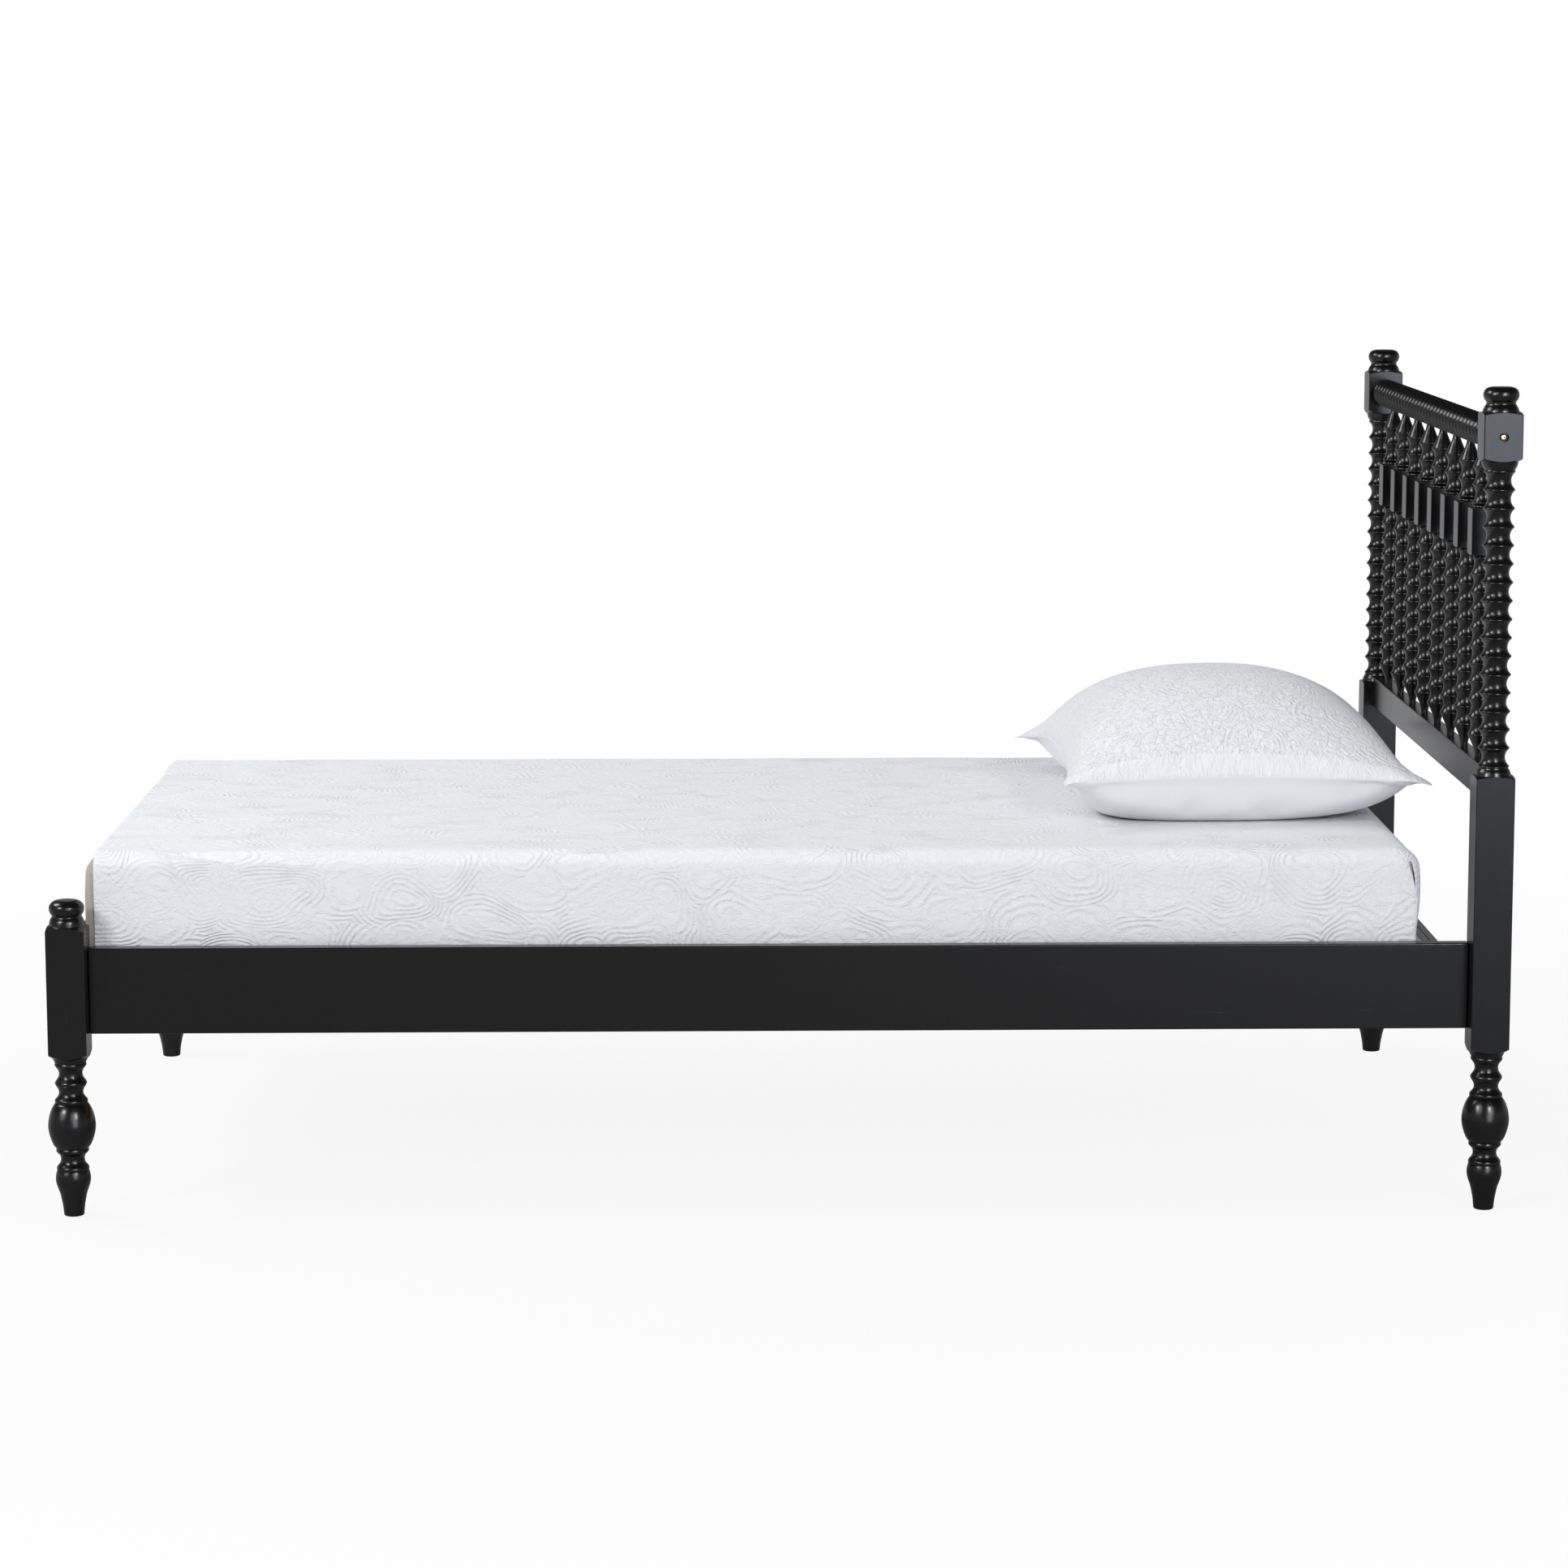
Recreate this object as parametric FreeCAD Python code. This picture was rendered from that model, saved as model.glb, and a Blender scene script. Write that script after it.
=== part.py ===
import FreeCAD, Part
import math
import os

# Twin-size spindle bed: bobbin-turned posts and spindles, painted wood.
# Frame: +X towards the head, +Y away from the viewer, +Z up, millimetres.
# The origin lies at the centre of the footprint, on the floor.

V = FreeCAD.Vector
UP = V(0, 0, 1)
os.makedirs("parts", exist_ok=True)

# ---- overall sizes -------------------------------------------------------
POST_SPACING_X = 1985.0        # head post axis to foot post axis
POST_SPACING_Y = 1079.0        # near post axis to far post axis
POST_SIDE = 54.0               # square stock of the posts
POST_EASE = 1.2                # taken off the posts' long arrises

# ---- leg, shared by all four posts ---------------------------------------
LEG_TOP = 234.0                # where the square corners begin
LEG_ARCH = 7.0                 # height of the turned shoulder below them
LEG_SHOULDER_R = 26.0
CORNER_R = POST_SIDE * 0.715   # just outside the stock's corners
STOCK_R = POST_SIDE * 0.76

# ---- square section of the posts and the ball on top ---------------------
FOOT_SQUARE_TOP = 407.5
SHOULDER = 6.5                 # arched shoulder above the square
SHOULDER_R = 24.9
FOOT_FINIAL = 35.2
HEAD_FINIAL = 33.6
HEAD_SHOULDER = 3.8
HEAD_SQUARE_DROP = 11.6        # square ends this far below the lower rail's top

# ---- headboard rails -----------------------------------------------------
TOP_RAIL_Z = 1088.5
TOP_RAIL_R = 22.0
TOP_RAIL_COVE_R = 16.5
TOP_RAIL_RINGS = 35
TOP_RAIL_END = 17.8            # last ring's crest to the post
LOWER_RAIL_HIGH = 47.9
LOWER_RAIL_TOP = 626.4
LOWER_RAIL_THICK = 24.0
LOWER_TENON_HIGH = 24.0
LOWER_TENON_THICK = 12.0
LOWER_TENON_LONG = 25.0
LOWER_TENON_DROP = 28.4        # its middle below the rail's top

# ---- bobbin turning of the head posts ------------------------------------
POST_RIDGES = 16
POST_RIDGE_START = 12.3        # first crest above the shoulder
POST_RIDGE_STOP = 44.7         # last crest below the block's corners
POST_RIDGE_R = 21.85
POST_COVE_R = 16.1
BLOCK_BELOW = 28.5             # block's corners below the top rail's axis
BLOCK_ABOVE = 30.1
BLOCK_ARCH = 4.5

# ---- spindles ------------------------------------------------------------
SPINDLES = 8
SPINDLE_RIDGE_R = 16.1
SPINDLE_COVE_R = 11.6
SPINDLE_LOW_RIDGES = 10
SPINDLE_HIGH_RIDGES = 3
SPINDLE_SHAFT = 32.5           # lower rail to the first crest
SPINDLE_BLOCK_DROP = 109.5     # block's top below the top rail's axis
SPINDLE_BLOCK_LONG = 63.0
SPINDLE_BLOCK_SIDE = 38.0
SPINDLE_COLLAR_R = 13.2
SPINDLE_COLLAR = 6.0           # collar below the block
SPINDLE_UPPER_COLLAR = 3.3
SPINDLE_UNDER = 28.5           # crest below the block
SPINDLE_OVER = 8.7             # crest above the block
SPINDLE_CONE = 50.0            # top crest below the top rail's axis
SPINDLE_TENON_R = 5.0
SPINDLE_FOOT_TENON = 15.0
SPINDLE_HEAD_TENON = 11.0

# ---- side rails, foot rail, head cross rail ------------------------------
RAIL_BOTTOM = 257.5
RAIL_TOP = 379.0
RAIL_THICK = 21.0
RAIL_SETBACK = 32.9            # from the posts' outer face to the rail's
RAIL_EASE = 1.5
STUB_HIGH = 70.0
STUB_THICK = 10.0
STUB_LONG = 12.0
FOOT_TENON_HIGH = 32.0
FOOT_TENON_GAP = 36.0
FOOT_TENON_LONG = 20.0
CROSS_BOTTOM = 255.0
CROSS_TOP = 291.0
CROSS_THICK = 12.5
CROSS_BACK_X = 1004.5
CROSS_TENON_HIGH = 22.0
CROSS_TENON_THICK = 7.0
CROSS_TENON_LONG = 20.0
CLEAT_SIDE_X = 12.0
CLEAT_HIGH = 22.0
CLEAT_SHORT = 6.0

# ---- mattress support ----------------------------------------------------
LEDGER_SIDE = 22.0
LEDGER_TOP = 291.0
LEDGER_END_GAP = 15.5          # from the posts
SLATS = 14
SLAT_WIDE = 68.0
SLAT_THICK = 12.0
SLAT_END_GAP = 2.0
SLAT_FOOT_INSET = 60.5         # first slat's middle from the foot posts
SLAT_HEAD_INSET = 115.5

# ---- bolts ---------------------------------------------------------------
BOLT_R = 3.0
BOLT_BORE_R = 3.3
BOLT_HEAD_R = 5.0
BOLT_HEAD_HIGH = 3.3
BOLT_SINK_R = 6.9
BOLT_SINK_DEEP = 6.0
BED_BOLT_LONG = 90.0
TOP_BOLT_LONG = 70.0
NUT_R = 5.0
NUT_LONG = 14.6
NUT_INSET = 35.5               # nut axis from the end of the rail
INSERT_R = 4.5
INSERT_LONG = 15.0

# ---- fits ----------------------------------------------------------------
FIT = 0.1                      # glued tenon in its mortise, per side
END_FIT = 0.5                  # room at the bottom of a blind hole
SOFT_GAP = 0.35                # bedding to the frame and to each other

# ---- bedding -------------------------------------------------------------
MATTRESS_SIDE_GAP = 3.7        # mattress to the near rail, coverlet between
MATTRESS_FAR_GAP = 66.4        # mattress to the far rail
MATTRESS_FOOT_GAP = 12.0       # mattress to the foot rail
MATTRESS_HEAD_GAP = 86.5       # mattress to the headboard's lower rail
MATTRESS_THICK = 203.0
MATTRESS_ROUND = 22.0
COVERLET_THICK = 3.0
COVERLET_HEM = 22.0            # above the mattress's underside
COVERLET_FOOT = 12.0           # short of the mattress at the foot
PILLOW_HEAD_GAP = 44.5         # pillow to the headboard's lower rail
PILLOW_NEAR = 169.0            # pillow to the mattress's near side
PILLOW_LONG = 530.0            # along the bed
PILLOW_WIDE = 664.0            # across the bed
PILLOW_ABOVE = 130.0           # crown above the seam
PILLOW_BELOW = 67.0            # seam above the mattress
PILLOW_EDGE = 9.0              # half thickness left at the seam ends
PILLOW_STEPS = 8
SHAM_THICK = 3.0

# flats round the turnings
POST_SIDES = 12
SPINDLE_SIDES = 10
RING_SIDES = 12
BOLT_SIDES = 8

# ---- worked out from the sizes above -------------------------------------
HEAD_X = POST_SPACING_X / 2
FOOT_X = -HEAD_X
SIDE_Y = POST_SPACING_Y / 2
HALF = POST_SIDE / 2
CLEAR_X = HEAD_X - HALF                       # rail shoulder to rail shoulder
CLEAR_Y = SIDE_Y - HALF
RAIL_OUT = SIDE_Y + HALF - RAIL_SETBACK
RAIL_IN = RAIL_OUT - RAIL_THICK
RAIL_MID_Y = (RAIL_OUT + RAIL_IN) / 2
RAIL_MID_Z = (RAIL_BOTTOM + RAIL_TOP) / 2
LOWER_TENON_Z = LOWER_RAIL_TOP - LOWER_TENON_DROP
CROSS_TENON_Z = (CROSS_BOTTOM + CROSS_TOP) / 2
FOOT_SHOULDER_TOP = FOOT_SQUARE_TOP + SHOULDER
FOOT_POST_TOP = FOOT_SHOULDER_TOP + FOOT_FINIAL
HEAD_SQUARE_TOP = LOWER_RAIL_TOP - HEAD_SQUARE_DROP
HEAD_SHOULDER_TOP = HEAD_SQUARE_TOP + HEAD_SHOULDER
BLOCK_LOW = TOP_RAIL_Z - BLOCK_BELOW
BLOCK_HIGH = TOP_RAIL_Z + BLOCK_ABOVE
HEAD_POST_TOP = BLOCK_HIGH + BLOCK_ARCH + HEAD_FINIAL
SPINDLE_BLOCK_HIGH = TOP_RAIL_Z - SPINDLE_BLOCK_DROP
SPINDLE_BLOCK_LOW = SPINDLE_BLOCK_HIGH - SPINDLE_BLOCK_LONG
SPINDLE_HEAD_TENON_TOP = TOP_RAIL_Z - SPINDLE_HEAD_TENON
MATTRESS_NEAR = RAIL_IN - MATTRESS_SIDE_GAP
MATTRESS_FAR = RAIL_IN - MATTRESS_FAR_GAP
MATTRESS_FOOT = HEAD_X - RAIL_THICK / 2 - MATTRESS_FOOT_GAP
MATTRESS_HEAD = HEAD_X - LOWER_RAIL_THICK / 2 - MATTRESS_HEAD_GAP
MATTRESS_BOTTOM = LEDGER_TOP + SLAT_THICK + SOFT_GAP
MATTRESS_TOP = MATTRESS_BOTTOM + MATTRESS_THICK
PILLOW_X = HEAD_X - LOWER_RAIL_THICK / 2 - PILLOW_HEAD_GAP - PILLOW_LONG / 2
PILLOW_Y = PILLOW_NEAR - MATTRESS_NEAR + PILLOW_WIDE / 2


# ---- helpers -------------------------------------------------------------
def block(x0, x1, y0, y1, z0, z1):
    return Part.makeBox(x1 - x0, y1 - y0, z1 - z0, V(x0, y0, z0))


def turned(profile, sides):
    """Turning about Z from (height, radius) points, with flats round it."""
    rings = []
    for z, r in profile:
        turn = [2 * math.pi * (k + 0.5) / sides for k in range(sides)]
        rings.append([V(r * math.cos(a), r * math.sin(a), z) for a in turn])
    faces = [Part.Face(Part.makePolygon(rings[0] + [rings[0][0]]))]
    faces.append(Part.Face(Part.makePolygon(rings[-1] + [rings[-1][0]])))
    for low, high in zip(rings[:-1], rings[1:]):
        for k in range(sides):
            n = (k + 1) % sides
            corners = [low[k], low[n], high[n], high[k], low[k]]
            faces.append(Part.Face(Part.makePolygon(corners)))
    solid = Part.makeSolid(Part.makeShell(faces))
    if solid.Volume < 0:
        solid.reverse()
    return solid


def skinned(sections):
    """Solid through closed sections of equal point count, in flat facets."""
    faces = []
    for end in (sections[0], sections[-1]):
        faces.append(Part.Face(Part.makePolygon(end + [end[0]])))
    for low, high in zip(sections[:-1], sections[1:]):
        for k in range(len(low)):
            n = (k + 1) % len(low)
            for a, b, c in ((low[k], low[n], high[n]), (low[k], high[n], high[k])):
                faces.append(Part.Face(Part.makePolygon([a, b, c, a])))
    solid = Part.makeSolid(Part.makeShell(faces))
    if solid.Volume < 0:
        solid.reverse()
    return solid


def pin(radius, start, direction, length, sides=BOLT_SIDES):
    """Straight round pin or hole of few flats from a point along an axis."""
    shape = turned([(0, radius), (length, radius)], sides)
    turn = FreeCAD.Rotation(UP, direction)
    shape.Placement = FreeCAD.Placement(start, turn)
    return shape


def eased(shape, axis, width):
    """Take off the arrises that run along one axis."""
    edges = []
    for edge in shape.Edges:
        a = edge.Vertexes[0].Point
        b = edge.Vertexes[-1].Point
        if abs((b - a).normalize().dot(axis)) > 0.999:
            edges.append(edge)
    return shape.makeChamfer(width, edges)


def mirrored(shape):
    return shape.mirror(V(0, 0, 0), V(0, 1, 0))


def save(name, shape):
    shape.exportStep("parts/" + name + ".step")


def ridges(first, last, count, crest, cove):
    """Alternating crests and coves, beginning and ending on a crest."""
    points = []
    pitch = (last - first) / (count - 1)
    for k in range(count):
        points.append((first + k * pitch, crest))
        if k < count - 1:
            points.append((first + (k + 0.5) * pitch, cove))
    return points


def shares(points, start, height):
    """Profile points given as shares of a height and of the half side."""
    return [(start + z * height, r * HALF) for z, r in points]


# ---- posts ---------------------------------------------------------------
def leg_profile():
    """Tapered foot, vase, bead, cove, bulb, two coves, flared shoulder."""
    foot = [(0, 0.481), (0.009, 0.533), (0.103, 0.637), (0.192, 0.867)]
    bead = [(0.231, 0.907), (0.274, 0.837), (0.299, 0.830)]
    cove = [(0.348, 0.611), (0.393, 0.830), (0.414, 0.837)]
    bulb = [(0.470, 1.111), (0.530, 1.220), (0.590, 1.194), (0.650, 1.048)]
    mid_cove = [(0.688, 0.841), (0.714, 0.822), (0.756, 0.626), (0.803, 0.818)]
    top_cove = [(0.872, 0.604), (0.919, 0.822)]
    turning = foot + bead + cove + bulb + mid_cove + top_cove
    flare = [(LEG_TOP - LEG_ARCH, LEG_SHOULDER_R), (LEG_TOP, CORNER_R)]
    return shares(turning, 0, LEG_TOP) + flare


def finial(start, height):
    """Ovolo, neck and flattened ball."""
    ovolo = [(0.20, 0.867), (0.35, 0.755)]
    ball = [(0.49, 0.863), (0.67, 0.914), (0.85, 0.852), (0.955, 0.680), (1.0, 0.475)]
    return shares(ovolo + ball, start, height)


def square_run(low, high):
    """Stock left square between two heights."""
    return [(low, CORNER_R), (low + 1, STOCK_R), (high - 1, STOCK_R), (high, CORNER_R)]


def foot_post_profile():
    points = leg_profile()[:-1] + square_run(LEG_TOP, FOOT_SQUARE_TOP)
    points += [(FOOT_SHOULDER_TOP, SHOULDER_R)]
    return points + finial(FOOT_SHOULDER_TOP, FOOT_FINIAL)


def head_post_profile():
    points = leg_profile()[:-1] + square_run(LEG_TOP, HEAD_SQUARE_TOP)
    points += [(HEAD_SHOULDER_TOP, SHOULDER_R)]
    first = HEAD_SHOULDER_TOP + POST_RIDGE_START
    last = BLOCK_LOW - POST_RIDGE_STOP
    points += [(HEAD_SHOULDER_TOP + 0.72 * POST_RIDGE_START, 0.98 * POST_RIDGE_R)]
    points += ridges(first, last, POST_RIDGES, POST_RIDGE_R, POST_COVE_R)
    points += [(last + 0.31 * POST_RIDGE_STOP, POST_COVE_R)]
    points += [(last + 0.56 * POST_RIDGE_STOP, POST_RIDGE_R)]
    points += [(BLOCK_LOW - BLOCK_ARCH, SHOULDER_R)]
    points += square_run(BLOCK_LOW, BLOCK_HIGH)
    points += [(BLOCK_HIGH + BLOCK_ARCH, SHOULDER_R)]
    return points + finial(BLOCK_HIGH + BLOCK_ARCH, HEAD_FINIAL)


def square_stock(height):
    """The square blank, left wide where the leg's bulb is built out."""
    stock = block(-HALF, HALF, -HALF, HALF, LEG_TOP - LEG_ARCH, height)
    wide = block(-STOCK_R, STOCK_R, -STOCK_R, STOCK_R, 0, LEG_TOP - LEG_ARCH)
    return eased(stock, UP, POST_EASE).fuse(wide)


def bed_bolt_hole(sign_x):
    """Counterbored hole through the post for the side rail's bolt."""
    y = SIDE_Y - RAIL_MID_Y
    outer = V(-sign_x * HALF, y, RAIL_MID_Z)
    inward = V(sign_x, 0, 0)
    sink = pin(BOLT_SINK_R, outer, inward, BOLT_SINK_DEEP)
    return sink.fuse(pin(BOLT_BORE_R, outer, inward, POST_SIDE))


def stub_mortise(sign_x):
    y = SIDE_Y - RAIL_MID_Y
    deep = STUB_LONG + END_FIT
    x0 = sign_x * (HALF - deep)
    x1 = sign_x * HALF
    half_y = STUB_THICK / 2 + FIT
    half_z = STUB_HIGH / 2 + FIT
    return block(min(x0, x1), max(x0, x1), y - half_y, y + half_y,
                 RAIL_MID_Z - half_z, RAIL_MID_Z + half_z)


def side_mortise(x, z, thick, high, long):
    """Mortise in the face that looks across the bed."""
    return block(x - thick / 2 - FIT, x + thick / 2 + FIT,
                 HALF - long - END_FIT, HALF,
                 z - high / 2 - FIT, z + high / 2 + FIT)


def foot_tenon_heights():
    step = (FOOT_TENON_GAP + FOOT_TENON_HIGH) / 2
    return [RAIL_MID_Z - step, RAIL_MID_Z + step]


def near_foot_post():
    post = turned(foot_post_profile(), POST_SIDES).common(square_stock(FOOT_POST_TOP))
    cuts = [bed_bolt_hole(1), stub_mortise(1)]
    for z in foot_tenon_heights():
        cuts.append(side_mortise(0, z, STUB_THICK, FOOT_TENON_HIGH, FOOT_TENON_LONG))
    return post.cut(cuts)


def near_head_post():
    post = turned(head_post_profile(), POST_SIDES).common(square_stock(HEAD_POST_TOP))
    lower = side_mortise(0, LOWER_TENON_Z, LOWER_TENON_THICK,
                         LOWER_TENON_HIGH, LOWER_TENON_LONG)
    cross_x = CROSS_BACK_X - CROSS_THICK / 2 - HEAD_X
    cross = side_mortise(cross_x, CROSS_TENON_Z, CROSS_TENON_THICK,
                         CROSS_TENON_HIGH, CROSS_TENON_LONG)
    outer = V(0, -HALF, TOP_RAIL_Z)
    inward = V(0, 1, 0)
    sink = pin(BOLT_SINK_R, outer, inward, BOLT_SINK_DEEP)
    top_bolt = sink.fuse(pin(BOLT_BORE_R, outer, inward, POST_SIDE))
    return post.cut([bed_bolt_hole(-1), stub_mortise(-1), lower, cross, top_bolt])


# ---- headboard -----------------------------------------------------------
def spindle_positions():
    pitch = POST_SPACING_Y / (SPINDLES + 1)
    return [(k - (SPINDLES - 1) / 2) * pitch for k in range(SPINDLES)]


def spindle():
    """One spindle standing on the Z axis, tenons included."""
    foot = LOWER_RAIL_TOP
    half = SPINDLE_BLOCK_SIDE / 2
    low = SPINDLE_BLOCK_LOW
    high = SPINDLE_BLOCK_HIGH
    points = [(foot - SPINDLE_FOOT_TENON, SPINDLE_TENON_R)]
    points += [(foot + 0.37 * SPINDLE_SHAFT, SPINDLE_TENON_R)]
    points += [(foot + 0.68 * SPINDLE_SHAFT, 1.7 * SPINDLE_TENON_R)]
    points += ridges(foot + SPINDLE_SHAFT, low - SPINDLE_UNDER, SPINDLE_LOW_RIDGES,
                     SPINDLE_RIDGE_R, SPINDLE_COVE_R)
    points += [(low - 0.54 * SPINDLE_UNDER, SPINDLE_COVE_R)]
    points += [(low - SPINDLE_COLLAR, SPINDLE_COLLAR_R)]
    points += [(low, half * 1.5), (high, half * 1.5)]
    points += [(high + SPINDLE_UPPER_COLLAR, SPINDLE_COLLAR_R)]
    points += ridges(high + SPINDLE_OVER, TOP_RAIL_Z - SPINDLE_CONE,
                     SPINDLE_HIGH_RIDGES, SPINDLE_RIDGE_R, SPINDLE_COVE_R)
    points += [(TOP_RAIL_Z - TOP_RAIL_R, SPINDLE_TENON_R)]
    points += [(SPINDLE_HEAD_TENON_TOP, SPINDLE_TENON_R)]
    stock = block(-half, half, -half, half, foot - SPINDLE_SHAFT, TOP_RAIL_Z)
    return turned(points, SPINDLE_SIDES).common(stock)


def tenon_hole(y, z0, z1):
    return pin(SPINDLE_TENON_R + FIT, V(HEAD_X, y, z0), UP, z1 - z0, SPINDLE_SIDES)


def top_rail():
    """Ringed rod with tenon holes below and an insert bore at each end."""
    run = CLEAR_Y - TOP_RAIL_END
    neck = run + TOP_RAIL_END / 2
    points = [(-CLEAR_Y, 0.9 * TOP_RAIL_R), (-neck, 1.06 * TOP_RAIL_COVE_R)]
    points += ridges(-run, run, TOP_RAIL_RINGS, TOP_RAIL_R, TOP_RAIL_COVE_R)
    points += [(neck, 1.06 * TOP_RAIL_COVE_R), (CLEAR_Y, 0.9 * TOP_RAIL_R)]
    rod = turned(points, RING_SIDES)
    rod.Placement = FreeCAD.Placement(V(HEAD_X, 0, TOP_RAIL_Z),
                                      FreeCAD.Rotation(V(1, 0, 0), -90))
    top = SPINDLE_HEAD_TENON_TOP + END_FIT
    low = TOP_RAIL_Z - 1.4 * TOP_RAIL_R
    cuts = [tenon_hole(y, low, top) for y in spindle_positions()]
    for sign in (-1, 1):
        end = V(HEAD_X, sign * CLEAR_Y, TOP_RAIL_Z)
        inward = V(0, -sign, 0)
        cuts.append(pin(INSERT_R + FIT, end, inward, INSERT_LONG + END_FIT))
        reach = TOP_BOLT_LONG + BOLT_SINK_DEEP - POST_SIDE + 2
        cuts.append(pin(BOLT_BORE_R, end, inward, reach))
    return rod.cut(cuts)


def lower_rail():
    half = LOWER_RAIL_THICK / 2
    rail = block(HEAD_X - half, HEAD_X + half, -CLEAR_Y, CLEAR_Y,
                 LOWER_RAIL_TOP - LOWER_RAIL_HIGH, LOWER_RAIL_TOP)
    rail = eased(rail, V(0, 1, 0), RAIL_EASE)
    reach = CLEAR_Y + LOWER_TENON_LONG
    tenon = block(HEAD_X - LOWER_TENON_THICK / 2, HEAD_X + LOWER_TENON_THICK / 2,
                  -reach, reach,
                  LOWER_TENON_Z - LOWER_TENON_HIGH / 2,
                  LOWER_TENON_Z + LOWER_TENON_HIGH / 2)
    low = LOWER_RAIL_TOP - SPINDLE_FOOT_TENON - END_FIT
    top = LOWER_RAIL_TOP + END_FIT
    cuts = [tenon_hole(y, low, top) for y in spindle_positions()]
    return rail.fuse(tenon).cut(cuts)


# ---- cross rails ---------------------------------------------------------
def head_cross_rail():
    front = CROSS_BACK_X - CROSS_THICK
    rail = block(front, CROSS_BACK_X, -CLEAR_Y, CLEAR_Y, CROSS_BOTTOM, CROSS_TOP)
    rail = eased(rail, V(0, 1, 0), 1.0)
    mid = (front + CROSS_BACK_X) / 2
    reach = CLEAR_Y + CROSS_TENON_LONG
    tenon = block(mid - CROSS_TENON_THICK / 2, mid + CROSS_TENON_THICK / 2,
                  -reach, reach,
                  CROSS_TENON_Z - CROSS_TENON_HIGH / 2,
                  CROSS_TENON_Z + CROSS_TENON_HIGH / 2)
    return rail.fuse(tenon)


def head_cleat():
    back = CROSS_BACK_X - CROSS_THICK
    reach = CLEAR_Y - CLEAT_SHORT
    strip = block(back - CLEAT_SIDE_X, back, -reach, reach,
                  CROSS_TOP - CLEAT_HIGH, CROSS_TOP)
    return eased(strip, V(0, 1, 0), 1.0)


def foot_rail():
    half = RAIL_THICK / 2
    rail = block(FOOT_X - half, FOOT_X + half, -CLEAR_Y, CLEAR_Y,
                 RAIL_BOTTOM, RAIL_TOP)
    rail = eased(rail, V(0, 1, 0), RAIL_EASE)
    reach = CLEAR_Y + FOOT_TENON_LONG
    for z in foot_tenon_heights():
        tenon = block(FOOT_X - STUB_THICK / 2, FOOT_X + STUB_THICK / 2,
                      -reach, reach,
                      z - FOOT_TENON_HIGH / 2, z + FOOT_TENON_HIGH / 2)
        rail = rail.fuse(tenon)
    return rail


# ---- side rails and what they carry --------------------------------------
def near_side_rail():
    rail = block(-CLEAR_X, CLEAR_X, -RAIL_OUT, -RAIL_IN, RAIL_BOTTOM, RAIL_TOP)
    rail = eased(rail, V(1, 0, 0), RAIL_EASE)
    reach = CLEAR_X + STUB_LONG
    stub = block(-reach, reach,
                 -RAIL_MID_Y - STUB_THICK / 2, -RAIL_MID_Y + STUB_THICK / 2,
                 RAIL_MID_Z - STUB_HIGH / 2, RAIL_MID_Z + STUB_HIGH / 2)
    cuts = []
    for sign in (-1, 1):
        end = V(sign * reach, -RAIL_MID_Y, RAIL_MID_Z)
        deep = STUB_LONG + BED_BOLT_LONG + BOLT_SINK_DEEP - POST_SIDE + 2
        cuts.append(pin(BOLT_BORE_R, end, V(-sign, 0, 0), deep))
        face = V(sign * (CLEAR_X - NUT_INSET), -RAIL_IN, RAIL_MID_Z)
        cuts.append(pin(NUT_R + FIT, face, V(0, -1, 0), NUT_LONG + 1))
    return rail.fuse(stub).cut(cuts)


def near_ledger():
    half = CLEAR_X - LEDGER_END_GAP
    return block(-half, half, -RAIL_IN, -RAIL_IN + LEDGER_SIDE,
                 LEDGER_TOP - LEDGER_SIDE, LEDGER_TOP)


def slat(x):
    reach = RAIL_IN - SLAT_END_GAP
    return block(x - SLAT_WIDE / 2, x + SLAT_WIDE / 2, -reach, reach,
                 LEDGER_TOP, LEDGER_TOP + SLAT_THICK)


# ---- bolts ---------------------------------------------------------------
def bolt(seat, direction, length):
    """Head against the seat, shank along the direction."""
    back = V(-direction.x, -direction.y, -direction.z)
    head = pin(BOLT_HEAD_R, seat, back, BOLT_HEAD_HIGH)
    return head.fuse(pin(BOLT_R, seat, direction, length))


def side_rail_bolts():
    bolts = []
    for sign_x in (-1, 1):
        for sign_y in (-1, 1):
            seat_x = sign_x * (HEAD_X + HALF - BOLT_SINK_DEEP)
            seat = V(seat_x, sign_y * RAIL_MID_Y, RAIL_MID_Z)
            bolts.append(bolt(seat, V(-sign_x, 0, 0), BED_BOLT_LONG))
    return Part.makeCompound(bolts)


def barrel_nuts():
    nuts = []
    for sign_x in (-1, 1):
        for sign_y in (-1, 1):
            x = sign_x * (CLEAR_X - NUT_INSET)
            start = V(x, sign_y * (RAIL_IN + 0.5), RAIL_MID_Z)
            nut = pin(NUT_R, start, V(0, sign_y, 0), NUT_LONG)
            hole = pin(BOLT_R + FIT, V(x - 2 * NUT_R, sign_y * RAIL_MID_Y, RAIL_MID_Z),
                       V(1, 0, 0), 4 * NUT_R)
            nuts.append(nut.cut(hole))
    return Part.makeCompound(nuts)


def top_rail_bolts():
    bolts = []
    for sign in (-1, 1):
        seat = V(HEAD_X, sign * (SIDE_Y + HALF - BOLT_SINK_DEEP), TOP_RAIL_Z)
        bolts.append(bolt(seat, V(0, -sign, 0), TOP_BOLT_LONG))
    return Part.makeCompound(bolts)


def top_rail_inserts():
    inserts = []
    for sign in (-1, 1):
        end = V(HEAD_X, sign * CLEAR_Y, TOP_RAIL_Z)
        inward = V(0, -sign, 0)
        sleeve = pin(INSERT_R, end, inward, INSERT_LONG)
        inserts.append(sleeve.cut(pin(BOLT_R + FIT, end, inward, INSERT_LONG)))
    return Part.makeCompound(inserts)


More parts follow.
